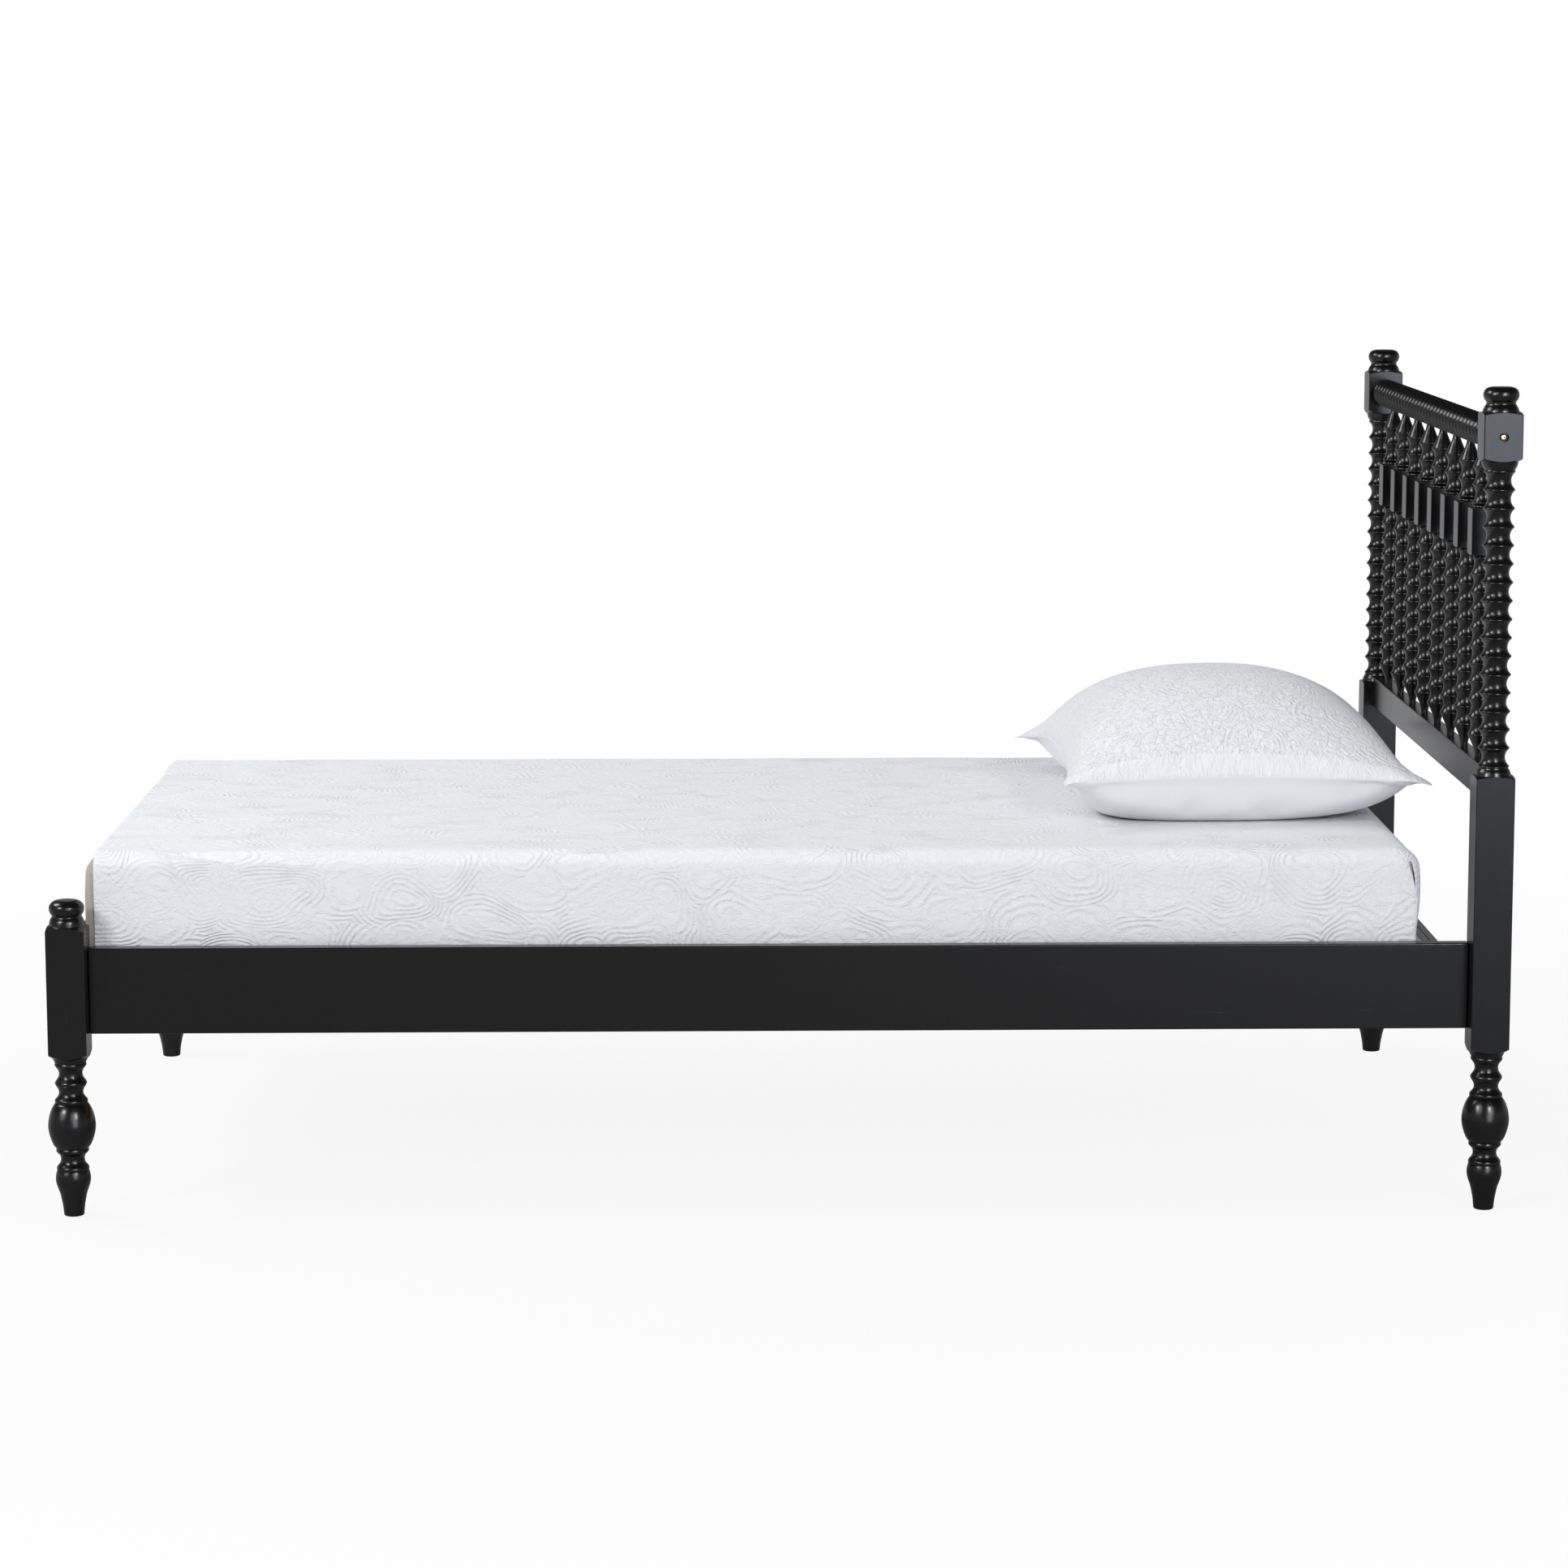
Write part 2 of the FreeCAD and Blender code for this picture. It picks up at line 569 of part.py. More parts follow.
# ---- bedding -------------------------------------------------------------
def rounded_slab(x0, x1, y0, y1, z0, z1, radius):
    slab = block(x0, x1, y0, y1, z0, z1)
    return slab.makeFillet(radius, slab.Edges)


def mattress():
    return rounded_slab(-MATTRESS_FOOT, MATTRESS_HEAD, -MATTRESS_NEAR, MATTRESS_FAR,
                        MATTRESS_BOTTOM, MATTRESS_TOP, MATTRESS_ROUND)


def coverlet():
    """Cloth over the top, both long sides and the head end."""
    skin = COVERLET_THICK + FIT
    open_end = 3 * MATTRESS_ROUND
    wide = MATTRESS_FOOT + MATTRESS_HEAD
    outer = rounded_slab(-MATTRESS_FOOT - open_end, MATTRESS_HEAD + skin,
                         -MATTRESS_NEAR - skin, MATTRESS_FAR + skin,
                         MATTRESS_BOTTOM - open_end, MATTRESS_TOP + skin,
                         MATTRESS_ROUND + skin)
    inner = rounded_slab(-MATTRESS_FOOT - 2 * open_end, MATTRESS_HEAD + FIT,
                         -MATTRESS_NEAR - FIT, MATTRESS_FAR + FIT,
                         MATTRESS_BOTTOM - 2 * open_end, MATTRESS_TOP + FIT,
                         MATTRESS_ROUND + FIT)
    keep = block(-MATTRESS_FOOT + COVERLET_FOOT, wide, -wide, wide,
                 MATTRESS_BOTTOM + COVERLET_HEM, MATTRESS_TOP + wide)
    return outer.cut(inner).common(keep)


def lens(y, half_x, edge, rise, drop):
    """Closed pillow section: a crown above the seam, a flatter belly below."""
    above = []
    below = []
    for k in range(PILLOW_STEPS + 1):
        u = -1 + 2 * k / PILLOW_STEPS
        crown = 1 - abs(u) ** 2.2
        belly = min(1.0, 1.25 * (1 - abs(u) ** 3))
        above.append(V(u * half_x, y, edge + (rise - edge) * crown))
        below.append(V(u * half_x, y, -edge - (drop - edge) * belly))
    below.reverse()
    return above + below


def pillow_form(shrink):
    """Plump cushion with drawn-in sides, flattened where it lies."""
    sections = []
    for t in (-1.0, -0.9, -0.7, -0.38, 0.0, 0.38, 0.7, 0.9, 1.0):
        bulge = 1 - abs(t) ** 2.6
        half_x = PILLOW_LONG / 2 - 10 + 10 * t * t - shrink
        edge = PILLOW_EDGE - shrink
        rise = PILLOW_EDGE + (PILLOW_ABOVE - PILLOW_EDGE) * bulge - shrink
        drop = PILLOW_EDGE + (PILLOW_BELOW - PILLOW_EDGE) * min(1.0, 1.3 * bulge)
        y = t * (PILLOW_WIDE / 2 - shrink)
        sections.append(lens(y, half_x, edge, rise, drop - shrink))
    form = skinned(sections)
    form.translate(V(PILLOW_X, PILLOW_Y, pillow_seam()))
    return form


def pillow_seam():
    return MATTRESS_TOP + COVERLET_THICK + FIT + SOFT_GAP + PILLOW_BELOW


def pillow_insert():
    return pillow_form(SHAM_THICK + FIT)


def pillow_sham():
    return pillow_form(0).cut(pillow_form(SHAM_THICK))


# ---- build ---------------------------------------------------------------
def build_frame():
    corner = V(HEAD_X, -SIDE_Y, 0)
    head = near_head_post()
    head.translate(corner)
    save("head_post_near", head)
    save("head_post_far", mirrored(head))
    foot = near_foot_post()
    foot.translate(V(FOOT_X, -SIDE_Y, 0))
    save("foot_post_near", foot)
    save("foot_post_far", mirrored(foot))
    save("headboard_top_rail", top_rail())
    save("headboard_lower_rail", lower_rail())
    one = spindle()
    for number, y in enumerate(spindle_positions(), 1):
        copy = one.copy()
        copy.translate(V(HEAD_X, y, 0))
        save("headboard_spindle_%d" % number, copy)
    save("head_cross_rail", head_cross_rail())
    save("head_cleat", head_cleat())
    save("foot_rail", foot_rail())
    rail = near_side_rail()
    save("side_rail_near", rail)
    save("side_rail_far", mirrored(rail))
    ledger = near_ledger()
    save("slat_ledger_near", ledger)
    save("slat_ledger_far", mirrored(ledger))
    first = -CLEAR_X + SLAT_FOOT_INSET
    step = (CLEAR_X - SLAT_HEAD_INSET - first) / (SLATS - 1)
    for number in range(SLATS):
        save("slat_%02d" % (number + 1), slat(first + number * step))


def build_fasteners():
    save("side_rail_bolts", side_rail_bolts())
    save("side_rail_barrel_nuts", barrel_nuts())
    save("top_rail_bolts", top_rail_bolts())
    save("top_rail_inserts", top_rail_inserts())


def build_bedding():
    save("mattress", mattress())
    save("coverlet", coverlet())
    save("pillow_insert", pillow_insert())
    save("pillow_sham", pillow_sham())


build_frame()
build_fasteners()
build_bedding()
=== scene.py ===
"""Twin-size spindle bed: turned and painted wood with its mattress, coverlet and pillow.

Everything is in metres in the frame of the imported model: +X to the head,
+Y away from the viewer, +Z up, origin on the floor under the bed's middle.
Profiles of turnings are written in millimetres as (height, radius).
"""

import math

import bmesh
import bpy
from bpy.props import FloatProperty, FloatVectorProperty, IntProperty, PointerProperty
from mathutils import Matrix, Vector, noise


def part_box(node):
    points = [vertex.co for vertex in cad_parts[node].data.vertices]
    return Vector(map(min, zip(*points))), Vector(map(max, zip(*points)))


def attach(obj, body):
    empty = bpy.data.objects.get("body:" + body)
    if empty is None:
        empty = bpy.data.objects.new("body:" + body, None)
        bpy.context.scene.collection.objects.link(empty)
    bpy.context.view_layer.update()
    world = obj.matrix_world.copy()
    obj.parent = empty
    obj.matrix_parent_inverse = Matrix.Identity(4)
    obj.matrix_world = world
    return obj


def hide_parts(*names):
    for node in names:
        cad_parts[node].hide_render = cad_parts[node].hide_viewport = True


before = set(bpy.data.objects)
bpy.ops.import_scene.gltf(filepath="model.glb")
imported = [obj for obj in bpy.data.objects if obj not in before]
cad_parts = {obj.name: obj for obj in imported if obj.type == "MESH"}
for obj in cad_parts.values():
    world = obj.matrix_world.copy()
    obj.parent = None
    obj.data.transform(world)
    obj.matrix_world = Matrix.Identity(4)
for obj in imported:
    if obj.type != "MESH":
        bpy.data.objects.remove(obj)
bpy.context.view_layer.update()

bl_info = {
    "name": "Twin spindle bed",
    "version": (1, 0, 0),
    "blender": (4, 5, 0),
    "location": "View3D > Sidebar > Spindle bed",
    "description": "Turned posts, spindles and rails with mattress, coverlet and pillow",
    "category": "Add Mesh",
}

MM = 0.001
PHOTO_SIDE = 1932
UP = Vector((0, 0, 1))


def span(node, axis):
    """Lowest and highest place of a CAD node along one axis, in millimetres."""
    low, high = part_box(node)
    return low[axis] / MM, high[axis] / MM


def middle(node, axis):
    low, high = span(node, axis)
    return (low + high) / 2


POST_X = middle("head_post_near", 0)
POST_Y = -middle("head_post_near", 1)


# ---- sizes and colours a user would change -------------------------------
class TurningSizes(bpy.types.PropertyGroup):
    post_side: FloatProperty(
        name="Post stock", description="Side of the square stock of the posts", default=0.054,
        min=0.045, max=0.07, unit="LENGTH",
    )
    post_crest: FloatProperty(
        name="Post ridge radius", description="Radius of the ridges on the head posts",
        default=0.02185, min=0.018, max=0.026, unit="LENGTH",
    )
    post_cove: FloatProperty(
        name="Post cove radius",
        description="Radius at the bottom of the coves between those ridges", default=0.0161,
        min=0.01, max=0.02, unit="LENGTH",
    )
    spindle_crest: FloatProperty(
        name="Spindle ridge radius", description="Radius of the ridges on the spindles",
        default=0.0161, min=0.012, max=0.019, unit="LENGTH",
    )
    spindle_cove: FloatProperty(
        name="Spindle cove radius",
        description="Radius at the bottom of the coves on the spindles", default=0.0116, min=0.008,
        max=0.015, unit="LENGTH",
    )
    spindle_block: FloatProperty(
        name="Spindle block", description="Side of the square block near the top of a spindle",
        default=0.038, min=0.03, max=0.045, unit="LENGTH",
    )
    ring_crest: FloatProperty(
        name="Top rail ring radius", description="Radius of the rings of the top rail",
        default=0.022, min=0.018, max=0.026, unit="LENGTH",
    )
    rings: IntProperty(
        name="Top rail rings", description="Number of rings along the top rail", default=35,
        min=20, max=50,
    )
    arris: FloatProperty(
        name="Eased arris", description="Rounding of the square edges of posts and rails",
        default=0.0014, min=0.0005, max=0.004, unit="LENGTH",
    )
    facets: IntProperty(
        name="Turning segments", description="Faces round a post", default=64, min=24, max=96,
    )


class BeddingSizes(bpy.types.PropertyGroup):
    cloth: FloatProperty(
        name="Coverlet thickness", description="Thickness of the quilted coverlet cloth",
        default=0.0024, min=0.001, max=0.004, unit="LENGTH",
    )
    swell: FloatProperty(
        name="Mattress swell", description="How far the mattress border swells between its seams",
        default=0.006, min=0.0, max=0.01, unit="LENGTH",
    )
    pressure: FloatProperty(
        name="Pillow filling", description="Pressure that fills the pillow sham", default=2.5,
        min=1.0, max=20.0,
    )
    hem: FloatProperty(
        name="Sham hem band",
        description="Width of the plain-stitched band along the sham's front seam", default=0.028,
        min=0.01, max=0.05, unit="LENGTH",
    )


class Finishes(bpy.types.PropertyGroup):
    paint: FloatVectorProperty(
        name="Paint", description="Black satin paint of the wood", subtype="COLOR",
        default=(0.0026, 0.0025, 0.0027), min=0, max=1,
    )
    pine: FloatVectorProperty(
        name="Bare wood", description="Unpainted wood of slats and ledgers", subtype="COLOR",
        default=(0.55, 0.37, 0.2), min=0, max=1,
    )
    brass: FloatVectorProperty(
        name="Brass", description="Bolt heads and threaded inserts", subtype="COLOR",
        default=(0.83, 0.66, 0.36), min=0, max=1,
    )
    steel: FloatVectorProperty(
        name="Steel", description="Barrel nuts in the side rails", subtype="COLOR",
        default=(0.55, 0.55, 0.56), min=0, max=1,
    )
    coverlet: FloatVectorProperty(
        name="Coverlet", description="White quilted cotton of the coverlet", subtype="COLOR",
        default=(0.795, 0.795, 0.82), min=0, max=1,
    )
    sham: FloatVectorProperty(
        name="Sham", description="White cotton of the pillow sham", subtype="COLOR",
        default=(0.825, 0.825, 0.85), min=0, max=1,
    )
    underside: FloatVectorProperty(
        name="Sham underside", description="Plain white cotton under the pillow sham",
        subtype="COLOR", default=(0.87, 0.87, 0.89), min=0, max=1,
    )
    border: FloatVectorProperty(
        name="Mattress border", description="Taupe knit round the mattress", subtype="COLOR",
        default=(0.42, 0.37, 0.335), min=0, max=1,
    )


class StageLevels(bpy.types.PropertyGroup):
    left_box: FloatProperty(
        name="Left softbox", description="Power of the softbox at the left", default=94.0, min=0,
        unit="POWER",
    )
    right_box: FloatProperty(
        name="Right softbox", description="Power of the softbox at the right", default=94.0, min=0,
        unit="POWER",
    )
    high_box: FloatProperty(
        name="High softbox",
        description="Power of the high softbox at the left of the bed", default=94.0,
        min=0, unit="POWER",
    )
    front_box: FloatProperty(
        name="Front softbox",
        description="Power of the low, wide softbox in front of the head end", default=62.0, min=0,
        unit="POWER",
    )
    room: FloatProperty(
        name="Room light", description="Level of the even light from the room", default=0.56,
        min=0, max=2,
    )


# ---- mesh helpers --------------------------------------------------------
def rounded(points, step=2.0):
    """A smooth line through (height, radius) points, as one sweep of the gouge cuts it."""
    gaps = [max(math.dist(a, b), 1e-6) for a, b in zip(points, points[1:])]

    def slope(i):
        a, b = max(i - 1, 0), min(i + 1, len(points) - 1)
        run = sum(gaps[a:b])
        return [(q - p) / run for p, q in zip(points[a], points[b])]

    line = []
    for i, gap in enumerate(gaps):
        (a, b), (ma, mb) = points[i : i + 2], (slope(i), slope(i + 1))
        count = max(1, math.ceil(gap / step))
        for t in (k / count for k in range(count)):
            h = (2 * t**3 - 3 * t**2 + 1, t**3 - 2 * t**2 + t, 3 * t**2 - 2 * t**3, t**3 - t**2)
            line.append(
                tuple(
                    h[0] * a[n] + h[1] * gap * ma[n] + h[2] * b[n] + h[3] * gap * mb[n]
                    for n in (0, 1)
                )
            )
    return line + [points[-1]]


def hollow(z0, r0, z1, r1, deepest, steps=10):
    """A cove cut with a round gouge between two edges."""
    sag = (r0 + r1) / 2 - deepest
    half = (z1 - z0) / 2
    radius = (half * half + sag * sag) / (2 * sag)
    line = []
    for k in range(steps + 1):
        t = -1 + 2 * k / steps
        arc = math.sqrt(radius**2 - (t * half) ** 2) - (radius - sag)
        line.append(((z0 + z1) / 2 + t * half, r0 + (r1 - r0) * (t + 1) / 2 - arc))
    return line


BEAD_HALF = 1.7  # half the height of a bead
BEAD_PROUD = 0.95  # how far a bead stands over the cove's edges
CREASE = 0.1  # step between a bead and its cove


def bead(z, r, edge):
    """Small half-round bead with a crease on each side of it."""
    near, dip = BEAD_HALF * 0.62, r - 0.28
    line = [(z - BEAD_HALF, edge), (z - near, dip), (z, r), (z + near, dip), (z + BEAD_HALF, edge)]
    return rounded(line, 1.0)


def bobbins(first, last, count, crest, cove):
    """Ridges at even steps, each a small bead, with round coves between them."""
    pitch = (last - first) / (count - 1)
    edge = crest - BEAD_PROUD
    cuts = []
    for k in range(count):
        z = first + k * pitch
        cuts.append(bead(z, crest, edge))
        if k < count - 1:
            start, end = z + BEAD_HALF, z + pitch - BEAD_HALF
            cuts.append(hollow(start, edge - CREASE, end, edge - CREASE, cove))
    return cuts


def cylinder(radius, depth, place, direction, segments):
    """Round pin as a bmesh, from a point along a direction, in millimetres."""
    bm = bmesh.new()
    bmesh.ops.create_cone(
        bm, cap_ends=True, segments=segments, radius1=radius, radius2=radius, depth=depth
    )
    bmesh.ops.translate(bm, verts=bm.verts, vec=(0, 0, depth / 2))
    turn = UP.rotation_difference(Vector(direction)).to_matrix().to_4x4()
    bmesh.ops.transform(bm, verts=bm.verts, matrix=Matrix.Translation(place) @ turn)
    return bm


def turning(cuts, segments):
    """Solid of revolution about Z through the cuts, closed at both ends."""
    line = [point for cut in cuts for point in cut]
    line = [line[0]] + [b for a, b in zip(line, line[1:]) if math.dist(a, b) > 0.05]
    bm = bmesh.new()
    verts = [bm.verts.new((max(r, 0.0), 0, z)) for z, r in line]
    edges = [bm.edges.new(pair) for pair in zip(verts, verts[1:])]
    bmesh.ops.spin(
        bm,
        geom=verts + edges,
        cent=(0, 0, 0),
        axis=(0, 0, 1),
        angle=math.tau,
        steps=segments,
        use_merge=True,
    )
    bmesh.ops.remove_doubles(bm, verts=bm.verts, dist=0.002)
    bmesh.ops.recalc_face_normals(bm, faces=bm.faces)
    return bm


def eased(bm, edges, width, segments=3, clamp=False):
    """Rounds edges to a width in millimetres."""
    bmesh.ops.bevel(
        bm,
        geom=edges,
        offset=width,
        affect="EDGES",
        segments=segments,
        profile=0.5,
        material=-1,
        clamp_overlap=clamp,
    )


def upright(edge):
    return abs(edge.verts[0].co.z - edge.verts[1].co.z) > 1


def timber(low, high, ease):
    """Square-sawn length with its arrises rounded, in millimetres."""
    low, high = Vector(low), Vector(high)
    bm = bmesh.new()
    bmesh.ops.create_cube(bm, size=1)
    bmesh.ops.scale(bm, verts=bm.verts, vec=high - low)
    bmesh.ops.translate(bm, verts=bm.verts, vec=(low + high) / 2)
    if ease:
        eased(bm, bm.edges[:], ease, clamp=True)
    return bm


def square_stock(centre, side, bottom, top, ease, wide_below=None):
    """The square blank a turning is kept within; below wide_below it clears the turning."""
    half = side / 2
    low = bottom if wide_below is None else wide_below
    bm = timber((-half, -half, low), (half, half, top), 0)
    eased(bm, [e for e in bm.edges if upright(e)], ease)
    if wide_below is not None:
        foot = min(bm.faces, key=lambda f: f.calc_center_median().z)
        for wider, drop in ((1.9, 0), (1, bottom - low)):
            grown = bmesh.ops.extrude_face_region(bm, geom=[foot])["geom"]
            bmesh.ops.delete(bm, geom=[foot], context="FACES_ONLY")
            foot = next(g for g in grown if isinstance(g, bmesh.types.BMFace))
            bmesh.ops.scale(bm, verts=foot.verts, vec=(wider, wider, 1))
            bmesh.ops.translate(bm, verts=foot.verts, vec=(0, 0, drop))
    bmesh.ops.recalc_face_normals(bm, faces=bm.faces)
    bmesh.ops.translate(bm, verts=bm.verts, vec=(centre[0], centre[1], 0))
    return bm


def laid_mesh(name, bm):
    mesh = bpy.data.meshes.new(name)
    bm.to_mesh(mesh)
    bm.free()
    piece = bpy.data.objects.new(name, mesh)
    bpy.context.scene.collection.objects.link(piece)
    return piece


def settled(piece):
    """Applies the piece's modifiers to its mesh."""
    bpy.context.view_layer.update()
    seen = piece.evaluated_get(bpy.context.evaluated_depsgraph_get())
    mesh = bpy.data.meshes.new_from_object(seen)
    piece.modifiers.clear()
    worn, piece.data = piece.data, mesh
    bpy.data.meshes.remove(worn)
    mesh.name = piece.name


def joined(piece, tool_bm, operation):
    """Cuts a piece with another solid, or adds or keeps what they share."""
    tool = laid_mesh("cutting_tool", tool_bm)
    cut = piece.modifiers.new("Cut", "BOOLEAN")
    cut.object, cut.operation, cut.solver = tool, operation, "EXACT"
    settled(piece)
    mesh = tool.data
    bpy.data.objects.remove(tool)
    bpy.data.meshes.remove(mesh)
    if not piece.data.polygons:
        raise RuntimeError(f"{piece.name} was cut away")


def in_metres(piece):
    piece.data.transform(Matrix.Scale(MM, 4))


def shaded(piece):
    """Smooth faces, with the edges over 32 degrees left sharp."""
    piece.data.shade_smooth()
    piece.data.set_sharp_from_angle(angle=math.radians(32))


def planed(piece):
    """Keeps large flats flat between their rounded arrises."""
    flats = piece.modifiers.new("Flats", "WEIGHTED_NORMAL")
    flats.mode, flats.weight, flats.keep_sharp = "FACE_AREA", 80, True


def softened(piece):
    soft = piece.modifiers.new("Soft", "SUBSURF")
    soft.levels = soft.render_levels = 1


def fitted(piece, body, slot, node_name, *materials):
    """Puts a piece in the place of its CAD node, with its materials."""
    # clearing also resets which face has which material
    if piece.data.materials:
        piece.data.materials.clear()
    for material in materials:
        piece.data.materials.append(material)
    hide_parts(node_name)
    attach(piece, body)


def painted(piece, node_name, direction):
    """A wooden piece in the place of its CAD node, with its grain along X, Y or Z."""
    fitted(piece, "bed_frame", "black_paint", node_name, black_paint(direction))


# ---- shader helpers ------------------------------------------------------
def cleared(name):
    material = bpy.data.materials.new(name)
    material.use_nodes = True
    material.node_tree.nodes.clear()
    return material, material.node_tree


def node(tree, kind, **settings):
    """A node with its properties and inputs set, an input by a value or a socket."""
    made = tree.nodes.new(kind)
    for key, value in settings.items():
        label = key.replace("_", " ")
        if isinstance(value, bpy.types.NodeSocket):
            tree.links.new(value, made.inputs[label])
        elif hasattr(made, key):
            setattr(made, key, value)
        else:
            made.inputs[label].default_value = value
    return made


def fed(tree, made, values):
    """Gives a node's inputs, in order, each a value or a socket; None leaves one alone."""
    for socket, value in zip(made.inputs, values):
        if isinstance(value, bpy.types.NodeSocket):
            tree.links.new(value, socket)
        elif value is not None:
            socket.default_value = value
    return made


def sums(tree, operation, *values):
    return fed(tree, node(tree, "ShaderNodeMath", operation=operation), values).outputs[0]


def times(tree, a, b):
    return sums(tree, "MULTIPLY", a, b)


def plus(tree, a, b):
    return sums(tree, "ADD", a, b)


def vectors(tree, operation, *values):
    return fed(tree, node(tree, "ShaderNodeVectorMath", operation=operation), values).outputs


def spread(tree, value, low, high, to_low, to_high):
    """Maps low to high onto to_low to to_high, held at both ends."""
    made = node(tree, "ShaderNodeMapRange")
    return fed(tree, made, (value, low, high, to_low, to_high)).outputs["Result"]


def blended(tree, factor, a, b):
    """Colour mix; each colour is a socket or three or four numbers."""
    made = node(tree, "ShaderNodeMix", data_type="RGBA")
    colours = [c if isinstance(c, bpy.types.NodeSocket) else (*c, 1)[:4] for c in (a, b)]
    return fed(tree, made, [factor] + [None] * 5 + colours).outputs[2]


def mottle(tree, where, scale, detail, **settings):
    """The value of a noise texture."""
    made = node(tree, "ShaderNodeTexNoise", Vector=where, Scale=scale, Detail=detail, **settings)
    return made.outputs["Fac"]


def either(tree, share, first, second, output):
    """Two shaders mixed by a share, at the end of the tree."""
    mix = tree.nodes.new("ShaderNodeMixShader")
    fed(tree, mix, (share, first.outputs[0], second.outputs[0]))
    tree.links.new(mix.outputs[0], tree.nodes.new(output).inputs["Surface"])


# ---- effects that materials share ----------------------------------------
def painted_wood(tree, taken):
    """Satin paint over wood: faint grain, its flecks, and the paint's own fine unevenness."""
    grain = mottle(tree, taken["Vector"], 1.0, 4.0, Roughness=0.6)
    peel = mottle(tree, taken["Vector"], 3.5, 2.0)
    flecks = times(tree, spread(tree, grain, 0.68, 0.78, 0.0, 1.0), taken["Grain"])
    satin = spread(tree, peel, 0.3, 0.7, 0.23, 0.255)
    lines = times(tree, grain, taken["Grain"])
    return {
        "Color": blended(tree, times(tree, flecks, 0.35), taken["Paint"], (0.05, 0.048, 0.048)),
        "Roughness": plus(tree, satin, times(tree, flecks, 0.15)),
        "Height": plus(tree, lines, times(tree, peel, 0.12)),
    }


def quilting(tree, taken):
    """Stitched scroll lines with their echoes, crinkle and weave, on flat cloth in metres, with
    painted shade in the hollows.
    """
    where = taken["Vector"]
    drift = node(tree, "ShaderNodeTexNoise", Vector=where, Scale=9.0, Detail=1.0)
    pull = vectors(tree, "SUBTRACT", drift.outputs["Color"], (0.5, 0.5, 0.5))[0]
    bent = vectors(tree, "MULTIPLY_ADD", pull, (0.09, 0.09, 0.0), where)[0]
    field = node(tree, "ShaderNodeTexVoronoi", Vector=bent, Scale=taken["Scrolls"], Randomness=0.85)
    waves = times(tree, times(tree, field.outputs["Distance"], taken["Echoes"]), math.tau)
    rolls = spread(tree, sums(tree, "SINE", waves), -1.0, 1.0, 0.0, 1.0)
    worn = spread(tree, mottle(tree, where, 13.0, 2.0), 0.38, 0.58, 0.1, 1.0)
    rolls = times(tree, times(tree, rolls, worn), taken["Stitching"])
    crests = mottle(tree, where, taken["Puckers"], 2.0, Roughness=0.5, Distortion=0.8)
    ridge = sums(tree, "ABSOLUTE", spread(tree, crests, 0.3, 0.7, -1.0, 1.0))
    ridge = sums(tree, "POWER", sums(tree, "SUBTRACT", 1.0, sums(tree, "MINIMUM", ridge, 1.0)), 1.6)
    relief = plus(tree, rolls, times(tree, ridge, taken["Crinkle"]))
    # painted shade: the cloth is mixed towards a cool grey where the relief is low, in the hollows
    # of the stitching and crinkle
    low = sums(tree, "SUBTRACT", 1.0, sums(tree, "MINIMUM", relief, 1.0))
    return {
        "Color": blended(tree, times(tree, low, 0.1), taken["Cloth"], (0.5, 0.5, 0.54)),
        "Height": plus(tree, relief, times(tree, mottle(tree, where, 900.0, 1.0), 0.1)),
    }


def bare_wood(tree, taken):
    """Sawn softwood with dark late rings and pale fibres."""
    rings = mottle(tree, taken["Vector"], 1.0, 2.0, Distortion=0.8)
    fibres = mottle(tree, taken["Vector"], 9.0, 5.0)
    late = spread(tree, sums(tree, "SINE", times(tree, rings, 42.0)), -1.0, 1.0, 0.0, 0.55)
    wood = blended(tree, late, taken["Wood"], (0.33, 0.19, 0.09))
    pale = spread(tree, fibres, 0.4, 0.75, 0.0, 0.35)
    return {
        "Color": blended(tree, pale, wood, (0.7, 0.55, 0.36)),
        "Roughness": spread(tree, fibres, 0.2, 0.8, 0.5, 0.72),
        "Height": plus(tree, late, fibres),
    }


def machined_metal(tree, taken):
    """Metal with tool marks and dull patches."""
    marks = mottle(tree, taken["Vector"], 1400.0, 2.0)
    tarnish = mottle(tree, taken["Vector"], 260.0, 4.0)
    dull = spread(tree, tarnish, 0.45, 0.75, 0.0, 0.5)
    return {
        "Color": blended(tree, dull, taken["Metal"], (0.35, 0.27, 0.16)),
        "Roughness": spread(tree, marks, 0.3, 0.7, 0.2, 0.38),
        "Height": marks,
    }


PATTERN = ("Scrolls", "Echoes", "Stitching", "Puckers", "Crinkle")
EFFECTS = {
    "Painted wood": (painted_wood, {"Paint": (0.01, 0.01, 0.01, 1), "Grain": 0.5}),
    "Quilted cotton": (
        quilting,
        {"Cloth": (0.8, 0.8, 0.8, 1), **dict(zip(PATTERN, (11.0, 9.0, 1.0, 70.0, 0.4)))},
    ),
    "Bare timber": (bare_wood, {"Wood": (0.5, 0.35, 0.2, 1)}),
    "Machined metal": (machined_metal, {"Metal": (0.8, 0.7, 0.4, 1)}),
}


def effect(name):
    """The node group of an effect, made once: it takes Vector and its values by name."""
    if name in bpy.data.node_groups:
        return bpy.data.node_groups[name]
    build, values = EFFECTS[name]
    group = bpy.data.node_groups.new(name, "ShaderNodeTree")

    def socket(label, side, kind):
        kind = f"NodeSocket{kind}"
        return group.interface.new_socket(name=label, in_out=side, socket_type=kind)

    socket("Vector", "INPUT", "Vector")
    for label, value in values.items():
        kind = "Color" if isinstance(value, tuple) else "Float"
        socket(label, "INPUT", kind).default_value = value
    made = build(group, group.nodes.new("NodeGroupInput").outputs)
    for label in made:
        socket(label, "OUTPUT", "Color" if label == "Color" else "Float")
    given = group.nodes.new("NodeGroupOutput")
    for label, value in made.items():
        group.links.new(value, given.inputs[label])
    return group


